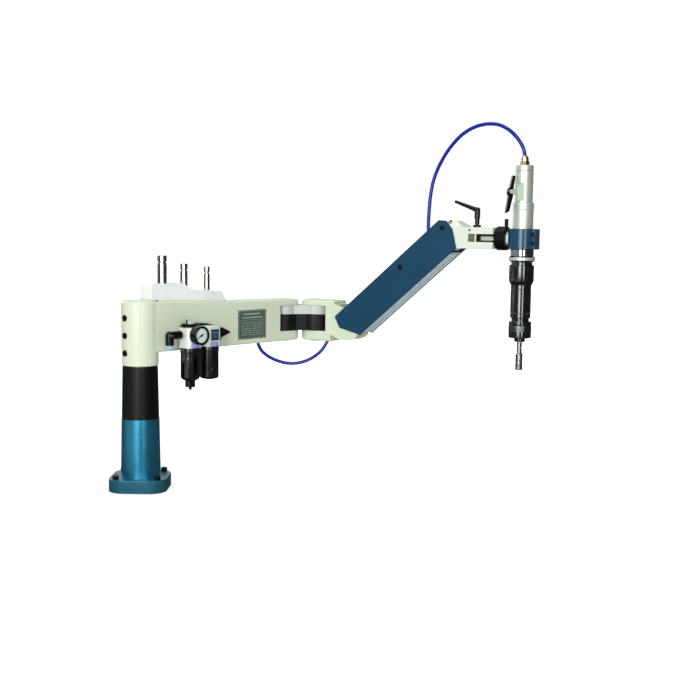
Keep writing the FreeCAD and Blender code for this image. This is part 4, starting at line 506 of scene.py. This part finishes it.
def tube(points):
    """A closed round tube along the points, with its rings turned as little as the line lets them."""
    bm = bmesh.new()
    side = UP.cross(points[1] - points[0])
    side = (side if side.length > 1e-6 else Vector((1, 0, 0))).normalized()
    rings = []
    for i, point in enumerate(points):
        ahead = (points[min(i + 1, len(points) - 1)] - points[max(i - 1, 0)]).normalized()
        side = (side - ahead * side.dot(ahead)).normalized()
        over = ahead.cross(side)
        rings.append([bm.verts.new(point + (side * math.cos(a) + over * math.sin(a)) * HOSE_D / 2)
                      for a in (2 * math.pi * k / HOSE_SIDES for k in range(HOSE_SIDES))])
    for one, other in zip(rings, rings[1:]):
        for k in range(HOSE_SIDES):
            n = (k + 1) % HOSE_SIDES
            bm.faces.new((one[k], one[n], other[n], other[k]))
    bm.faces.new(rings[0])
    bm.faces.new(rings[-1][::-1])
    return bm


def hose_part(name, points, node):
    """Part of a hose, routed between two bodies and attached to neither."""
    obj = from_bmesh(name, tube(points), SLOT_OF[node], None, (node,))
    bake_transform(obj)


def make_hoses():
    """Each hose in two parts: the second begins at share, and settled is not used."""
    for name, route, node, bodies, share, settled in (
            ("elbow_air_hose", LOWER_HOSE, "lower_hose", ("swing_arm", "elbow", "knuckle"), 0.5, 9),
            ("motor_air_hose", UPPER_HOSE, "upper_hose", ("lift_arm", "head", "tilt_head"), 0.19, 9)):
        points = route_points(name + "_line", route)
        cut = int(len(points) * share)
        hose_part(name, points[:cut + 1], node)
        hose_part(name + "_end", points[cut:], node)


# ---------------------------------------------------------------- pressure gauge
DIAL_R = 16.0
DIAL_FLOOR = -4.4           # behind the case's face
SCALE_START = 209.0         # degrees: the zero mark, low on the left
SCALE_SWEEP = 240.0
MARKS = 25
MARK_END = 14.8
LONG_MARK = (12.2, 0.28)    # where a mark begins, and half its width
SHORT_MARK = (13.4, 0.15)
FIGURES = ("0", "2", "4", "6", "8", "10")
FIGURE_R = 9.8
FIGURE_HEIGHT = 3.4


def make_figure(text, place):
    """A dial figure as a thin mesh."""
    name = "gauge_figure_" + text
    curve = bpy.data.curves.new(name, "FONT")
    curve.body = text
    curve.size = FIGURE_HEIGHT * MM
    curve.extrude = 0.05 * MM
    curve.align_x = "CENTER"
    curve.align_y = "CENTER"
    obj = bpy.data.objects.new(name, curve)
    bpy.context.scene.collection.objects.link(obj)
    bm = bmesh.new()
    bm.from_mesh(bpy.data.meshes.new_from_object(obj))
    bpy.data.objects.remove(obj)
    from_bmesh(name, bm, "needle_metal", "swing_arm", place=place, material=OWN["dial_ink"])


def make_dial():
    """The gauge's dial plate, marks, figures and inner bezel. Axes: x right, y up, z out of the face."""
    floor = DIAL_FLOOR
    edge = DIAL_R - 0.2
    bm = turned(bmesh.new(), ((0, floor + 0.4), (edge, floor + 0.4), (edge, floor), (0, floor)))
    from_bmesh("gauge_dial", bm, "tray_plastic", "swing_arm", place=DIAL, material=OWN["dial_paint"])
    bm = bmesh.new()
    for k in range(MARKS):
        begin, half = LONG_MARK if k % 5 == 0 or k == MARKS - 1 else SHORT_MARK
        turn = Matrix.Rotation(math.radians(SCALE_START - SCALE_SWEEP * k / (MARKS - 1)), 4, "Z")
        before = len(bm.verts)
        brick(bm, (begin, -half, floor + 0.35), (MARK_END, half, floor + 0.5))
        bm.verts.ensure_lookup_table()
        bmesh.ops.transform(bm, matrix=turn, verts=bm.verts[before:])
    from_bmesh("gauge_marks", bm, "needle_metal", "swing_arm", place=DIAL, material=OWN["dial_ink"])
    for k, text in enumerate(FIGURES):
        a = math.radians(SCALE_START - SCALE_SWEEP * k / (len(FIGURES) - 1))
        at = mm(FIGURE_R * math.cos(a), FIGURE_R * math.sin(a), floor + 0.45)
        make_figure(text, DIAL @ Matrix.Translation(at))
    rim = ((16.0, -0.2), (16.1, -1.6), (15.4, -2.2), (15.4, -2.6), (16.4, -2.4), (16.4, -0.2), (16.0, -0.2))
    from_bmesh("gauge_bezel", turned(bmesh.new(), rim), "black_plastic", "swing_arm", place=DIAL)


# ---------------------------------------------------------------- air unit
UNIT_HALF = 20.0            # half a unit body's width
SIGHT_UP = 25.0             # the sight's middle over the lubricator body's foot
PORT_DOWN = 9.3             # the inlet's level axis under the elbow's top
NUT_OUT = 6.55              # out from the regulator's side, along that axis
COLLAR_OUT = 11.6
BEAD_OUT = 9.2              # before the elbow's upright axis
DOME_DOWN = 9.0             # the dome's foot under the top of the knob's lock pin
DOME_R = 11.4
DOME_HEIGHT = 6.3
RIM_DOWN = 5.4              # the knob's rim under the dome's foot
GUARD_R = 19.9              # where a button sits on its bowl guard
FILTER_BUTTON_DOWN = 22.5   # under the body's foot
LUBRICATOR_BUTTON_DOWN = 49.0


def upright_at(point, z):
    return Matrix.Translation(Vector((point.x, point.y, z))) @ ARM1.to_3x3().to_4x4()


def make_sight():
    """The lubricator's sight pane in its pocket, with a raised band across it painted pale blue as a painted
    highlight, and a bolster above and below.

    x is along the arm, y up and z out of the unit's front.
    """
    middle = Vector((UNIT2_AT.x, UNIT2_AT.y, low_z("lubricator_body") + SIGHT_UP * MM))
    place = axes_at(middle - ARM1_Y * UNIT_HALF * MM, ARM1_X, -ARM1_Y)
    bm = bmesh.new()
    brick(bm, (-10.8, -11.3, -1.5), (10.8, 11.3, -0.4), 0.5)
    from_bmesh("sight_pane", bm, "black_plastic", "swing_arm", place=place, material=OWN["sight_glass"])
    bm = bmesh.new()
    # painted highlight: the band's pale blue stands in for light caught across the curved window
    brick(bm, (-8.6, 3.6, -0.6), (10.2, 7.4, 0.35), 0.9)
    from_bmesh("sight_band_highlight", bm, "pale_plastic", "swing_arm", place=place, material=OWN["sight_band_highlight"])
    bm = bmesh.new()
    brick(bm, (-10.8, -11.2, -0.6), (10.8, -8.6, 0.2), 0.5)
    brick(bm, (-10.8, 8.6, -0.6), (10.8, 11.2, 0.2), 0.5)
    from_bmesh("sight_bolsters", bm, "black_plastic", "swing_arm", place=place)


def hexagonal(af, length, cut):
    """A hexagonal prism along z with chamfered corners."""
    r = af / math.sqrt(3)
    profile = ((0, 0), (r - cut, 0), (r, cut * 0.6), (r, length - cut * 0.6), (r - cut, length), (0, length))
    return turned(bmesh.new(), profile, 6)


def make_inlet():
    """Brass nut and black collar between elbow and regulator, and the bead on the elbow's front."""
    port = UNIT_AT - ARM1_X * UNIT_HALF * MM
    port.z = high_z("inlet_elbow") - PORT_DOWN * MM
    from_bmesh("inlet_nut", hexagonal(13.4, 6.5, 0.8), "brass", "swing_arm",
               place=axes_at(port - ARM1_X * NUT_OUT * MM, UP, ARM1_X), angle=25)
    collar = ((0, 5.0), (8.7, 5.0), (9.0, 4.6), (9.0, 0.4), (8.7, 0), (0, 0))
    from_bmesh("inlet_collar", turned(bmesh.new(), collar), "black_plastic", "swing_arm",
               place=axes_at(port - ARM1_X * COLLAR_OUT * MM, UP, ARM1_X))
    spot = box_centre("release_ring") - ARM1_Y * BEAD_OUT * MM
    spot.z = port.z
    bead = ((0, 0.9), (1.1, 0.6), (1.7, 0), (0, 0))
    from_bmesh("inlet_bead", turned(bmesh.new(), bead, 24), "bright_steel", "swing_arm",
               place=axes_at(spot, ARM1_X, -ARM1_Y))


def make_knob():
    """Clear dome and raised rim on the pressure knob."""
    top = high_z("regulator_knob") - DOME_DOWN * MM
    turns = [math.radians(6 * k) for k in range(15)]
    dome = [(DOME_R * math.cos(t), DOME_HEIGHT * math.sin(t)) for t in turns]
    profile = [(0, -0.2), (DOME_R, -0.2)] + dome + [(0, DOME_HEIGHT)]
    from_bmesh("knob_dome", turned(bmesh.new(), profile), "pale_plastic", "pressure_knob",
               place=upright_at(UNIT_AT, top), material=OWN["clear_dome"])
    rim = ((11.0, 4.2), (17.3, 4.2), (17.8, 3.8), (17.8, 0.4), (17.3, 0), (11.0, 0), (11.0, 4.2))
    from_bmesh("knob_rim", turned(bmesh.new(), rim), "black_plastic", "pressure_knob",
               place=upright_at(UNIT_AT, top - RIM_DOWN * MM), material=OWN["knob_moulding"])


def make_buttons():
    """The steel button on each bowl guard, turned from the arm's direction by so many degrees."""
    button = ((0, 0.9), (0.9, 0.8), (1.5, 0.1), (1.5, -0.5), (0, -0.5))
    for name, at, z, turn in (
            ("filter_button", UNIT_AT, low_z("regulator_body") - FILTER_BUTTON_DOWN * MM, -142),
            ("lubricator_button", UNIT2_AT, low_z("lubricator_body") - LUBRICATOR_BUTTON_DOWN * MM, -110)):
        out = Matrix.Rotation(math.radians(turn), 3, "Z") @ ARM1_X
        base = Vector((at.x, at.y, z)) + out * GUARD_R * MM
        from_bmesh(name, turned(bmesh.new(), button, 20), "bright_steel", "swing_arm",
                   place=axes_at(base, UP, out))


# ---------------------------------------------------------------- nameplate
PLATE_W = 84.0
PLATE_H = 65.0
TEXT_ROWS = 7
ROW_PITCH = 4.6
ROW_HALF = 32.0             # half a row's length
RIVET_IN = 4.2              # a rivet's axis in from the plate's edges


def make_nameplate():
    """Generic rules and rows on the bare plate, with four small rivets."""
    skin = sorted(NODES["nameplate"].data.polygons, key=lambda f: -f.area)
    out = next(f.normal for f in skin if f.normal.dot(-ARM1_Y) > 0.5).normalized()
    place = axes_at(box_centre("nameplate") + out * 0.4 * MM, ARM1_X - out * ARM1_X.dot(out), out)
    rng = random.Random(7)
    half_w = PLATE_W / 2
    half_h = PLATE_H / 2
    bm = bmesh.new()

    def bar(x0, x1, y, thick):
        brick(bm, (x0, y - thick / 2, -0.05), (x1, y + thick / 2, 0.1))

    for y in (half_h - 2, 2 - half_h):
        bar(2 - half_w, half_w - 2, y, 0.8)
    for x in (2.4 - half_w, half_w - 2.4):
        brick(bm, (x - 0.4, 2 - half_h, -0.05), (x + 0.4, half_h - 2, 0.1))
    bar(-26, 22, half_h - 9, 3.2)
    bar(-30, 30, half_h - 17, 2.6)
    bar(4 - half_w, half_w - 4, half_h - 22.5, 0.6)
    for row in range(TEXT_ROWS):
        y = half_h - 28 - ROW_PITCH * row
        x = -ROW_HALF
        while x < ROW_HALF:
            width = rng.uniform(4, 11)
            bar(x, min(x + width, ROW_HALF + 1), y, rng.uniform(1.1, 1.9))
            x += width + rng.uniform(1.6, 4)
    from_bmesh("nameplate_rules", bm, "nameplate_metal", "swing_arm", place=place,
               material=OWN["plate_print"])
    bm = bmesh.new()
    for x in (RIVET_IN - half_w, half_w - RIVET_IN):
        for y in (RIVET_IN - half_h, half_h - RIVET_IN):
            before = len(bm.verts)
            turned(bm, ((0, 0.9), (0.9, 0.75), (1.6, 0.1), (1.6, -0.1), (0, -0.1)), 16)
            bm.verts.ensure_lookup_table()
            bmesh.ops.translate(bm, vec=mm(x, y, 0), verts=bm.verts[before:])
    from_bmesh("nameplate_rivets", bm, "bright_steel", "swing_arm", place=place)


# ---------------------------------------------------------------- lift arm
STRIP_IN = 6.0              # a strip's ends in from the plate's
STRIP_ROOT = 0.3            # how far a strip reaches into the plate


def make_underside():
    """Pressed ribs in near-white as painted highlight and dark strips as painted shade of the grooves, along the
    plate under the lift arm, x along it and z out of its face.
    """
    hinge = joint_at("arm_lift")
    along = joint_at("head_level") - hinge
    near = -joint_axis("arm_lift") if joint_axis("arm_lift").y > 0 else joint_axis("arm_lift")
    place = axes_at(hinge, along, along.cross(near))
    points = [place.inverted() @ v.co for v in NODES["underside_plate"].data.vertices]
    start, end = (f(p.x for p in points) / MM for f in (min, max))
    face = max(p.z for p in points) / MM
    # the ribs' near-white is painted highlight and the seams' dark grey is painted shade of grooves
    for name, finish, proud, cut, strips in (
            ("underside_highlight_ribs", "rib_highlight_enamel", 0.7, 0.3, ((16.0, 19.5), (2.0, 5.5), (-15.0, -9.0))),
            ("underside_shade_seams", "seam_shade_enamel", 0.12, 0.0, ((13.0, 14.6), (-2.4, -0.4), (-19.6, -17.6)))):
        bm = bmesh.new()
        for low, high in strips:
            brick(bm, (start + STRIP_IN, low, face - STRIP_ROOT), (end - STRIP_IN, high, face + proud), cut)
        from_bmesh(name, bm, "grey_metal", "lift_arm", place=place, material=OWN[finish])


# ---------------------------------------------------------------- head and tool
SLOT_HALF = 8.45            # just inside half the jaw slot's height
SLOT_RIBS = 6
RIB_PITCH = 2.3
GROOVE_DOWN = 11.6          # under the top of the motor's upper housing
KNURLS = 72
KNURL_VALLEY = 0.993        # radius in a knurl's valley, as a share


def make_head_details():
    """Ribs, divider and a near-black liner of painted shade on the jaw slot's walls, the set screw above them, and
    the lever's skirt.

    x runs along the slot from the tilt axis, y up and z out of the head's near side.
    """
    at = joint_at("head_tilt")
    near = min((v.co - at).dot(ARM2_Y) for v in NODES["head_block"].data.vertices)
    face = axes_at(at + ARM2_Y * near, ARM2_X, -ARM2_Y)
    bm = bmesh.new()
    brick(bm, (-56.8, -8.4, -6), (-41.5, 8.4, -2.2))
    for k in range(SLOT_RIBS):
        x = -55.0 + RIB_PITCH * k
        brick(bm, (x, -8.3, -2.5), (x + 1.2, 8.3, -0.5), 0.2)
    from_bmesh("slot_ribs", bm, "steel", "head", place=face, material=OWN["ribbed_insert"])
    bm = bmesh.new()
    brick(bm, (-41.5, -SLOT_HALF, -14), (-38.0, SLOT_HALF, -0.1), 0.3)
    from_bmesh("slot_divider", bm, "cream_metal", "head", place=face)
    # painted shade: thin near-black sheets on the slot's walls and ends, round the bright shaft
    bm = bmesh.new()
    brick(bm, (-38.0, -SLOT_HALF, -12.8), (-32.5, SLOT_HALF, -0.8))
    brick(bm, (-38.0, 4.4, -13.9), (-0.4, SLOT_HALF, -0.8))
    brick(bm, (-38.0, -SLOT_HALF, -13.9), (-0.4, -5.6, -0.8))
    brick(bm, (-56.9, 8.0, -6.0), (-41.5, 8.48, -0.3))
    from_bmesh("slot_shade_liner", bm, "black_metal", "head", place=face, material=OWN["slot_shade_enamel"])
    bm = turned(bmesh.new(), ((0, 0.2), (1.0, 0.25), (2.1, 0.3), (2.3, 0), (2.3, -0.4), (0, -0.4)), 24)
    from_bmesh("head_set_screw", bm, "black_screw", "head",
               place=face @ Matrix.Translation(mm(-53.7, 16.6, 0)))
    skirt = ((0, 5.2), (4.6, 5.2), (8.0, 4.6), (8.5, 4.0), (8.5, 0.05), (0, 0.05))
    from_bmesh("lever_skirt", turned(bmesh.new(), skirt, 40), "black_metal", "head_clamp",
               place=Matrix.Translation(joint_at("head_clamp_turn")))


def make_tool_details():
    """A dark ring as painted shade of the motor's groove, the flare on its nut, the collar's rubbed knurl and the
    throttle's pins.
    """
    # painted shade: a thin dark ring where the housing's groove is shaded
    groove = ((19.0, -0.4), (19.28, -0.3), (19.28, 0.3), (19.0, 0.4), (19.0, -0.4))
    from_bmesh("motor_groove_shade", turned(bmesh.new(), groove, 96), "dark_metal", "tilt_head",
               place=TOOL @ Matrix.Translation((0, 0, high_z("motor_head") - GROOVE_DOWN * MM)))
    flare = ((27.0, 3.2), (27.65, 3.5), (27.65, 9.6), (27.0, 9.9), (27.0, 3.2))
    from_bmesh("nut_flare", turned(bmesh.new(), flare, 96), "chrome_steel", "tilt_head",
               place=TOOL @ Matrix.Translation((0, 0, low_z("motor_nut"))), material=OWN["satin_ring"])
    ring = ((23.4, -8.3), (24.2, -8.6), (24.2, -21.6), (23.4, -22.0), (23.4, -8.3))
    bm = turned(bmesh.new(), ring, KNURLS * 4, lambda k: 1.0 if k % 4 < 3 else KNURL_VALLEY)
    from_bmesh("collar_knurl", bm, "chuck_black", "collar", material=OWN["rubbed_knurl"], angle=50,
               place=TOOL @ Matrix.Translation((0, 0, high_z("release_collar"))))
    pivot = joint_at("throttle_press")
    out = joint_axis("throttle_press")
    for name, shift in (("throttle_pin", Vector()), ("throttle_rivet", mm(0, 0, 6.0) - ARM2_X * 2.0 * MM)):
        bm = turned(bmesh.new(), ((0, 1.3), (1.1, 1.1), (1.7, 0.4), (1.7, -0.5), (0, -0.5)), 24)
        from_bmesh(name, bm, "bright_steel", "throttle",
                   place=axes_at(pivot + shift + out * 3.6 * MM, UP, out))


# ---------------------------------------------------------------- studio
CAMERA_AT = (0.439, -2.390, 0.565)      # metres
CAMERA_DOWN = 6.351         # degrees below level
CAMERA_ROLL = 0.75          # degrees
CAMERA_LENS = 59.143
CAMERA_SENSOR = 36.0
FLOOR_HALF = 14.0           # metres
TOWARD_KEY = (-0.24, -0.97, 0)
ACROSS_KEY = (0.97, -0.24, 0)


def make_camera():
    data = bpy.data.cameras.new("camera")
    data.lens = CAMERA_LENS
    data.sensor_width = CAMERA_SENSOR
    data.clip_end = 60
    camera = bpy.data.objects.new("camera", data)
    turn = Matrix.Rotation(math.radians(90 - CAMERA_DOWN), 4, "X") @ Matrix.Rotation(
        math.radians(CAMERA_ROLL), 4, "Z")
    camera.matrix_world = Matrix.Translation(CAMERA_AT) @ turn
    bpy.context.scene.collection.objects.link(camera)
    bpy.context.scene.camera = camera


def softbox(name, at, toward, width, height, power, glossy_only=False):
    """A rectangular lamp of so many metres and watts. A glossy_only one shows in gloss and lights nothing."""
    data = bpy.data.lights.new(name, "AREA")
    data.shape = "RECTANGLE"
    data.size = width
    data.size_y = height
    data.energy = power
    light = bpy.data.objects.new(name, data)
    light.visible_diffuse = not glossy_only
    aim = (Vector(toward) - Vector(at)).to_track_quat("-Z", "Y").to_matrix().to_4x4()
    light.matrix_world = Matrix.Translation(at) @ aim
    bpy.context.scene.collection.objects.link(light)


def make_world():
    """White behind for the camera, soft light all round, and dark sides for gloss to show."""
    world = bpy.data.worlds.new("studio")
    bpy.context.scene.world = world
    world.use_nodes = True
    world.cycles.sampling_method = "NONE"
    tree = world.node_tree

    def node(kind, **values):
        made = tree.nodes.new(kind)
        for key, value in values.items():
            made.inputs[key.replace("_", " ")].default_value = value
        return made

    def link(out, into):
        tree.links.new(out, into)

    soft = tree.nodes["Background"]
    soft.inputs["Color"].default_value = (0.97, 1.0, 0.97, 1)
    soft.inputs["Strength"].default_value = 0.43
    seen = node("ShaderNodeBackground", Color=(1, 1, 1, 1), Strength=1.05)
    gloss = node("ShaderNodeBackground", Color=(0.9, 0.96, 1.0, 1))
    parts = node("ShaderNodeSeparateXYZ")
    link(node("ShaderNodeTexCoord").outputs["Generated"], parts.inputs[0])
    behind = node("ShaderNodeMapRange", From_Min=0.62, From_Max=0.97, To_Min=0.0, To_Max=0.75)
    link(parts.outputs["Y"], behind.inputs["Value"])
    leftward = node("ShaderNodeMapRange", From_Min=0.25, From_Max=-0.9, To_Min=0.03, To_Max=0.36)
    link(parts.outputs["X"], leftward.inputs["Value"])
    total = node("ShaderNodeMath")
    link(behind.outputs[0], total.inputs[0])
    link(leftward.outputs[0], total.inputs[1])
    link(total.outputs[0], gloss.inputs["Strength"])
    rays = node("ShaderNodeLightPath")
    by_gloss = node("ShaderNodeMixShader")
    by_camera = node("ShaderNodeMixShader")
    for choose, ray, one, other in ((by_gloss, "Is Glossy Ray", soft, gloss),
                                    (by_camera, "Is Camera Ray", by_gloss, seen)):
        link(rays.outputs[ray], choose.inputs[0])
        link(one.outputs[0], choose.inputs[1])
        link(other.outputs[0], choose.inputs[2])
    link(by_camera.outputs[0], tree.nodes["World Output"].inputs["Surface"])


def make_floor():
    """Plain pale floor: white to the eye, whiter far away, and dim to gloss but for a glowing patch by the key, a
    painted reflection of the key for upright glossy parts.
    """
    bm = bmesh.new()
    bmesh.ops.create_grid(bm, x_segments=1, y_segments=1, size=FLOOR_HALF)
    mesh = bpy.data.meshes.new("floor")
    bm.to_mesh(mesh)
    bm.free()
    floor = bpy.data.objects.new("floor", mesh)
    floor.location.z = -0.0005
    bpy.context.scene.collection.objects.link(floor)
    shader = Shader("floor_paint", (0.74, 0.74, 0.73, 1), 0.0, 0.9,
                    **{"Specular IOR Level": 0.0, "Emission Color": (1, 1, 1, 1)})
    shader.tint(0.7, 0.01)
    away = shader.add("ShaderNodeVectorMath", {0: shader.place}, operation="LENGTH").outputs["Value"]
    glow = shader.ramp(away, 0.8, 2.6, 0.55, 1.1)
    rays = shader.add("ShaderNodeLightPath").outputs

    def times(one, other):
        return shader.add("ShaderNodeMath", {0: one, 1: other}, operation="MULTIPLY").outputs[0]

    def reach(along, near, far):
        measure = shader.add("ShaderNodeVectorMath", {0: shader.place, 1: along}, operation="DOT_PRODUCT")
        return shader.ramp(measure.outputs["Value"], near, far)

    shader.set(shader.bsdf, {"Emission Strength": times(glow, rays["Is Camera Ray"])})
    # painted reflection: this floor patch in front of the key glows for glossy rays only, so upright glossy parts
    # show the key as streaks
    key_glint_patch = reach(TOWARD_KEY, 0.1, 0.4)
    key_glint_patch = times(key_glint_patch, reach(ACROSS_KEY, -1.6, -1.1))
    key_glint_patch = times(key_glint_patch, reach(ACROSS_KEY, 0.1, -0.25))
    strength = shader.ramp(key_glint_patch, 0, 1, 0.05, 0.42)
    dim = shader.add("ShaderNodeEmission", {"Color": (0.9, 1.0, 1.0, 1), "Strength": strength}).outputs[0]
    either = shader.add("ShaderNodeMixShader")
    shader.set(either, {0: rays["Is Glossy Ray"], 1: shader.bsdf.outputs[0], 2: dim})
    shader.tree.links.new(either.outputs[0], shader.tree.nodes["Material Output"].inputs["Surface"])
    mesh.materials.append(shader.material)


def make_studio():
    """Lamps around the machine, and the world and floor."""
    bpy.context.scene.view_settings.view_transform = "Standard"
    middle = (0.4, 0.1, 0.4)
    softbox("key", (-0.56, -3.0, 1.0), middle, 1.25, 2.5, 64)
    softbox("side", (1.35, -2.9, 1.1), middle, 0.6, 2.4, 12)
    softbox("top", (0.3, 0.2, 3.2), middle, 2.6, 2.0, 30)
    softbox("back", (-1.8, 2.6, 1.8), middle, 1.5, 2.0, 25)
    softbox("strip", (1.5, -2.9, 1.0), middle, 0.35, 2.4, 14, glossy_only=True)
    make_world()
    make_floor()


# ---------------------------------------------------------------- the machine
HOSES = ("lower_hose", "upper_hose")
WIDE_ROUNDING = {
    "first_arm": 0.8, "knuckle": 0.8, "head_block": 0.7, "near_cover": 0.8, "far_cover": 0.8,
    "base_flange": 0.9, "tool_tray": 1.2, "motor_clamp": 0.8, "elbow_link": 0.8, "elbow_plate": 0.8,
    "underside_plate": 0.5,
}
OWN_FINISH = {
    "elbow_plate": "plate_enamel", "base_flange": "foot_shaded_enamel", "tilt_shaft": "shaft_alloy",
    "filter_guard": "bowl_moulding", "lubricator_guard": "bowl_moulding", "regulator_knob": "knob_moulding",
    "head_block": "head_lit_enamel", "index_ring": "ring_enamel", "index_pin": "ring_enamel",
}


def dress_all():
    """Every rigid CAD node again, with rounded edges and its finish."""
    for node in NODES:
        if node not in HOSES:
            dressed(node, WIDE_ROUNDING.get(node, ROUNDING), OWN.get(OWN_FINISH.get(node)))


make_camera()
make_hoses()
dress_all()
make_dial()
make_sight()
make_inlet()
make_knob()
make_buttons()
make_nameplate()
make_underside()
make_head_details()
make_tool_details()
make_studio()
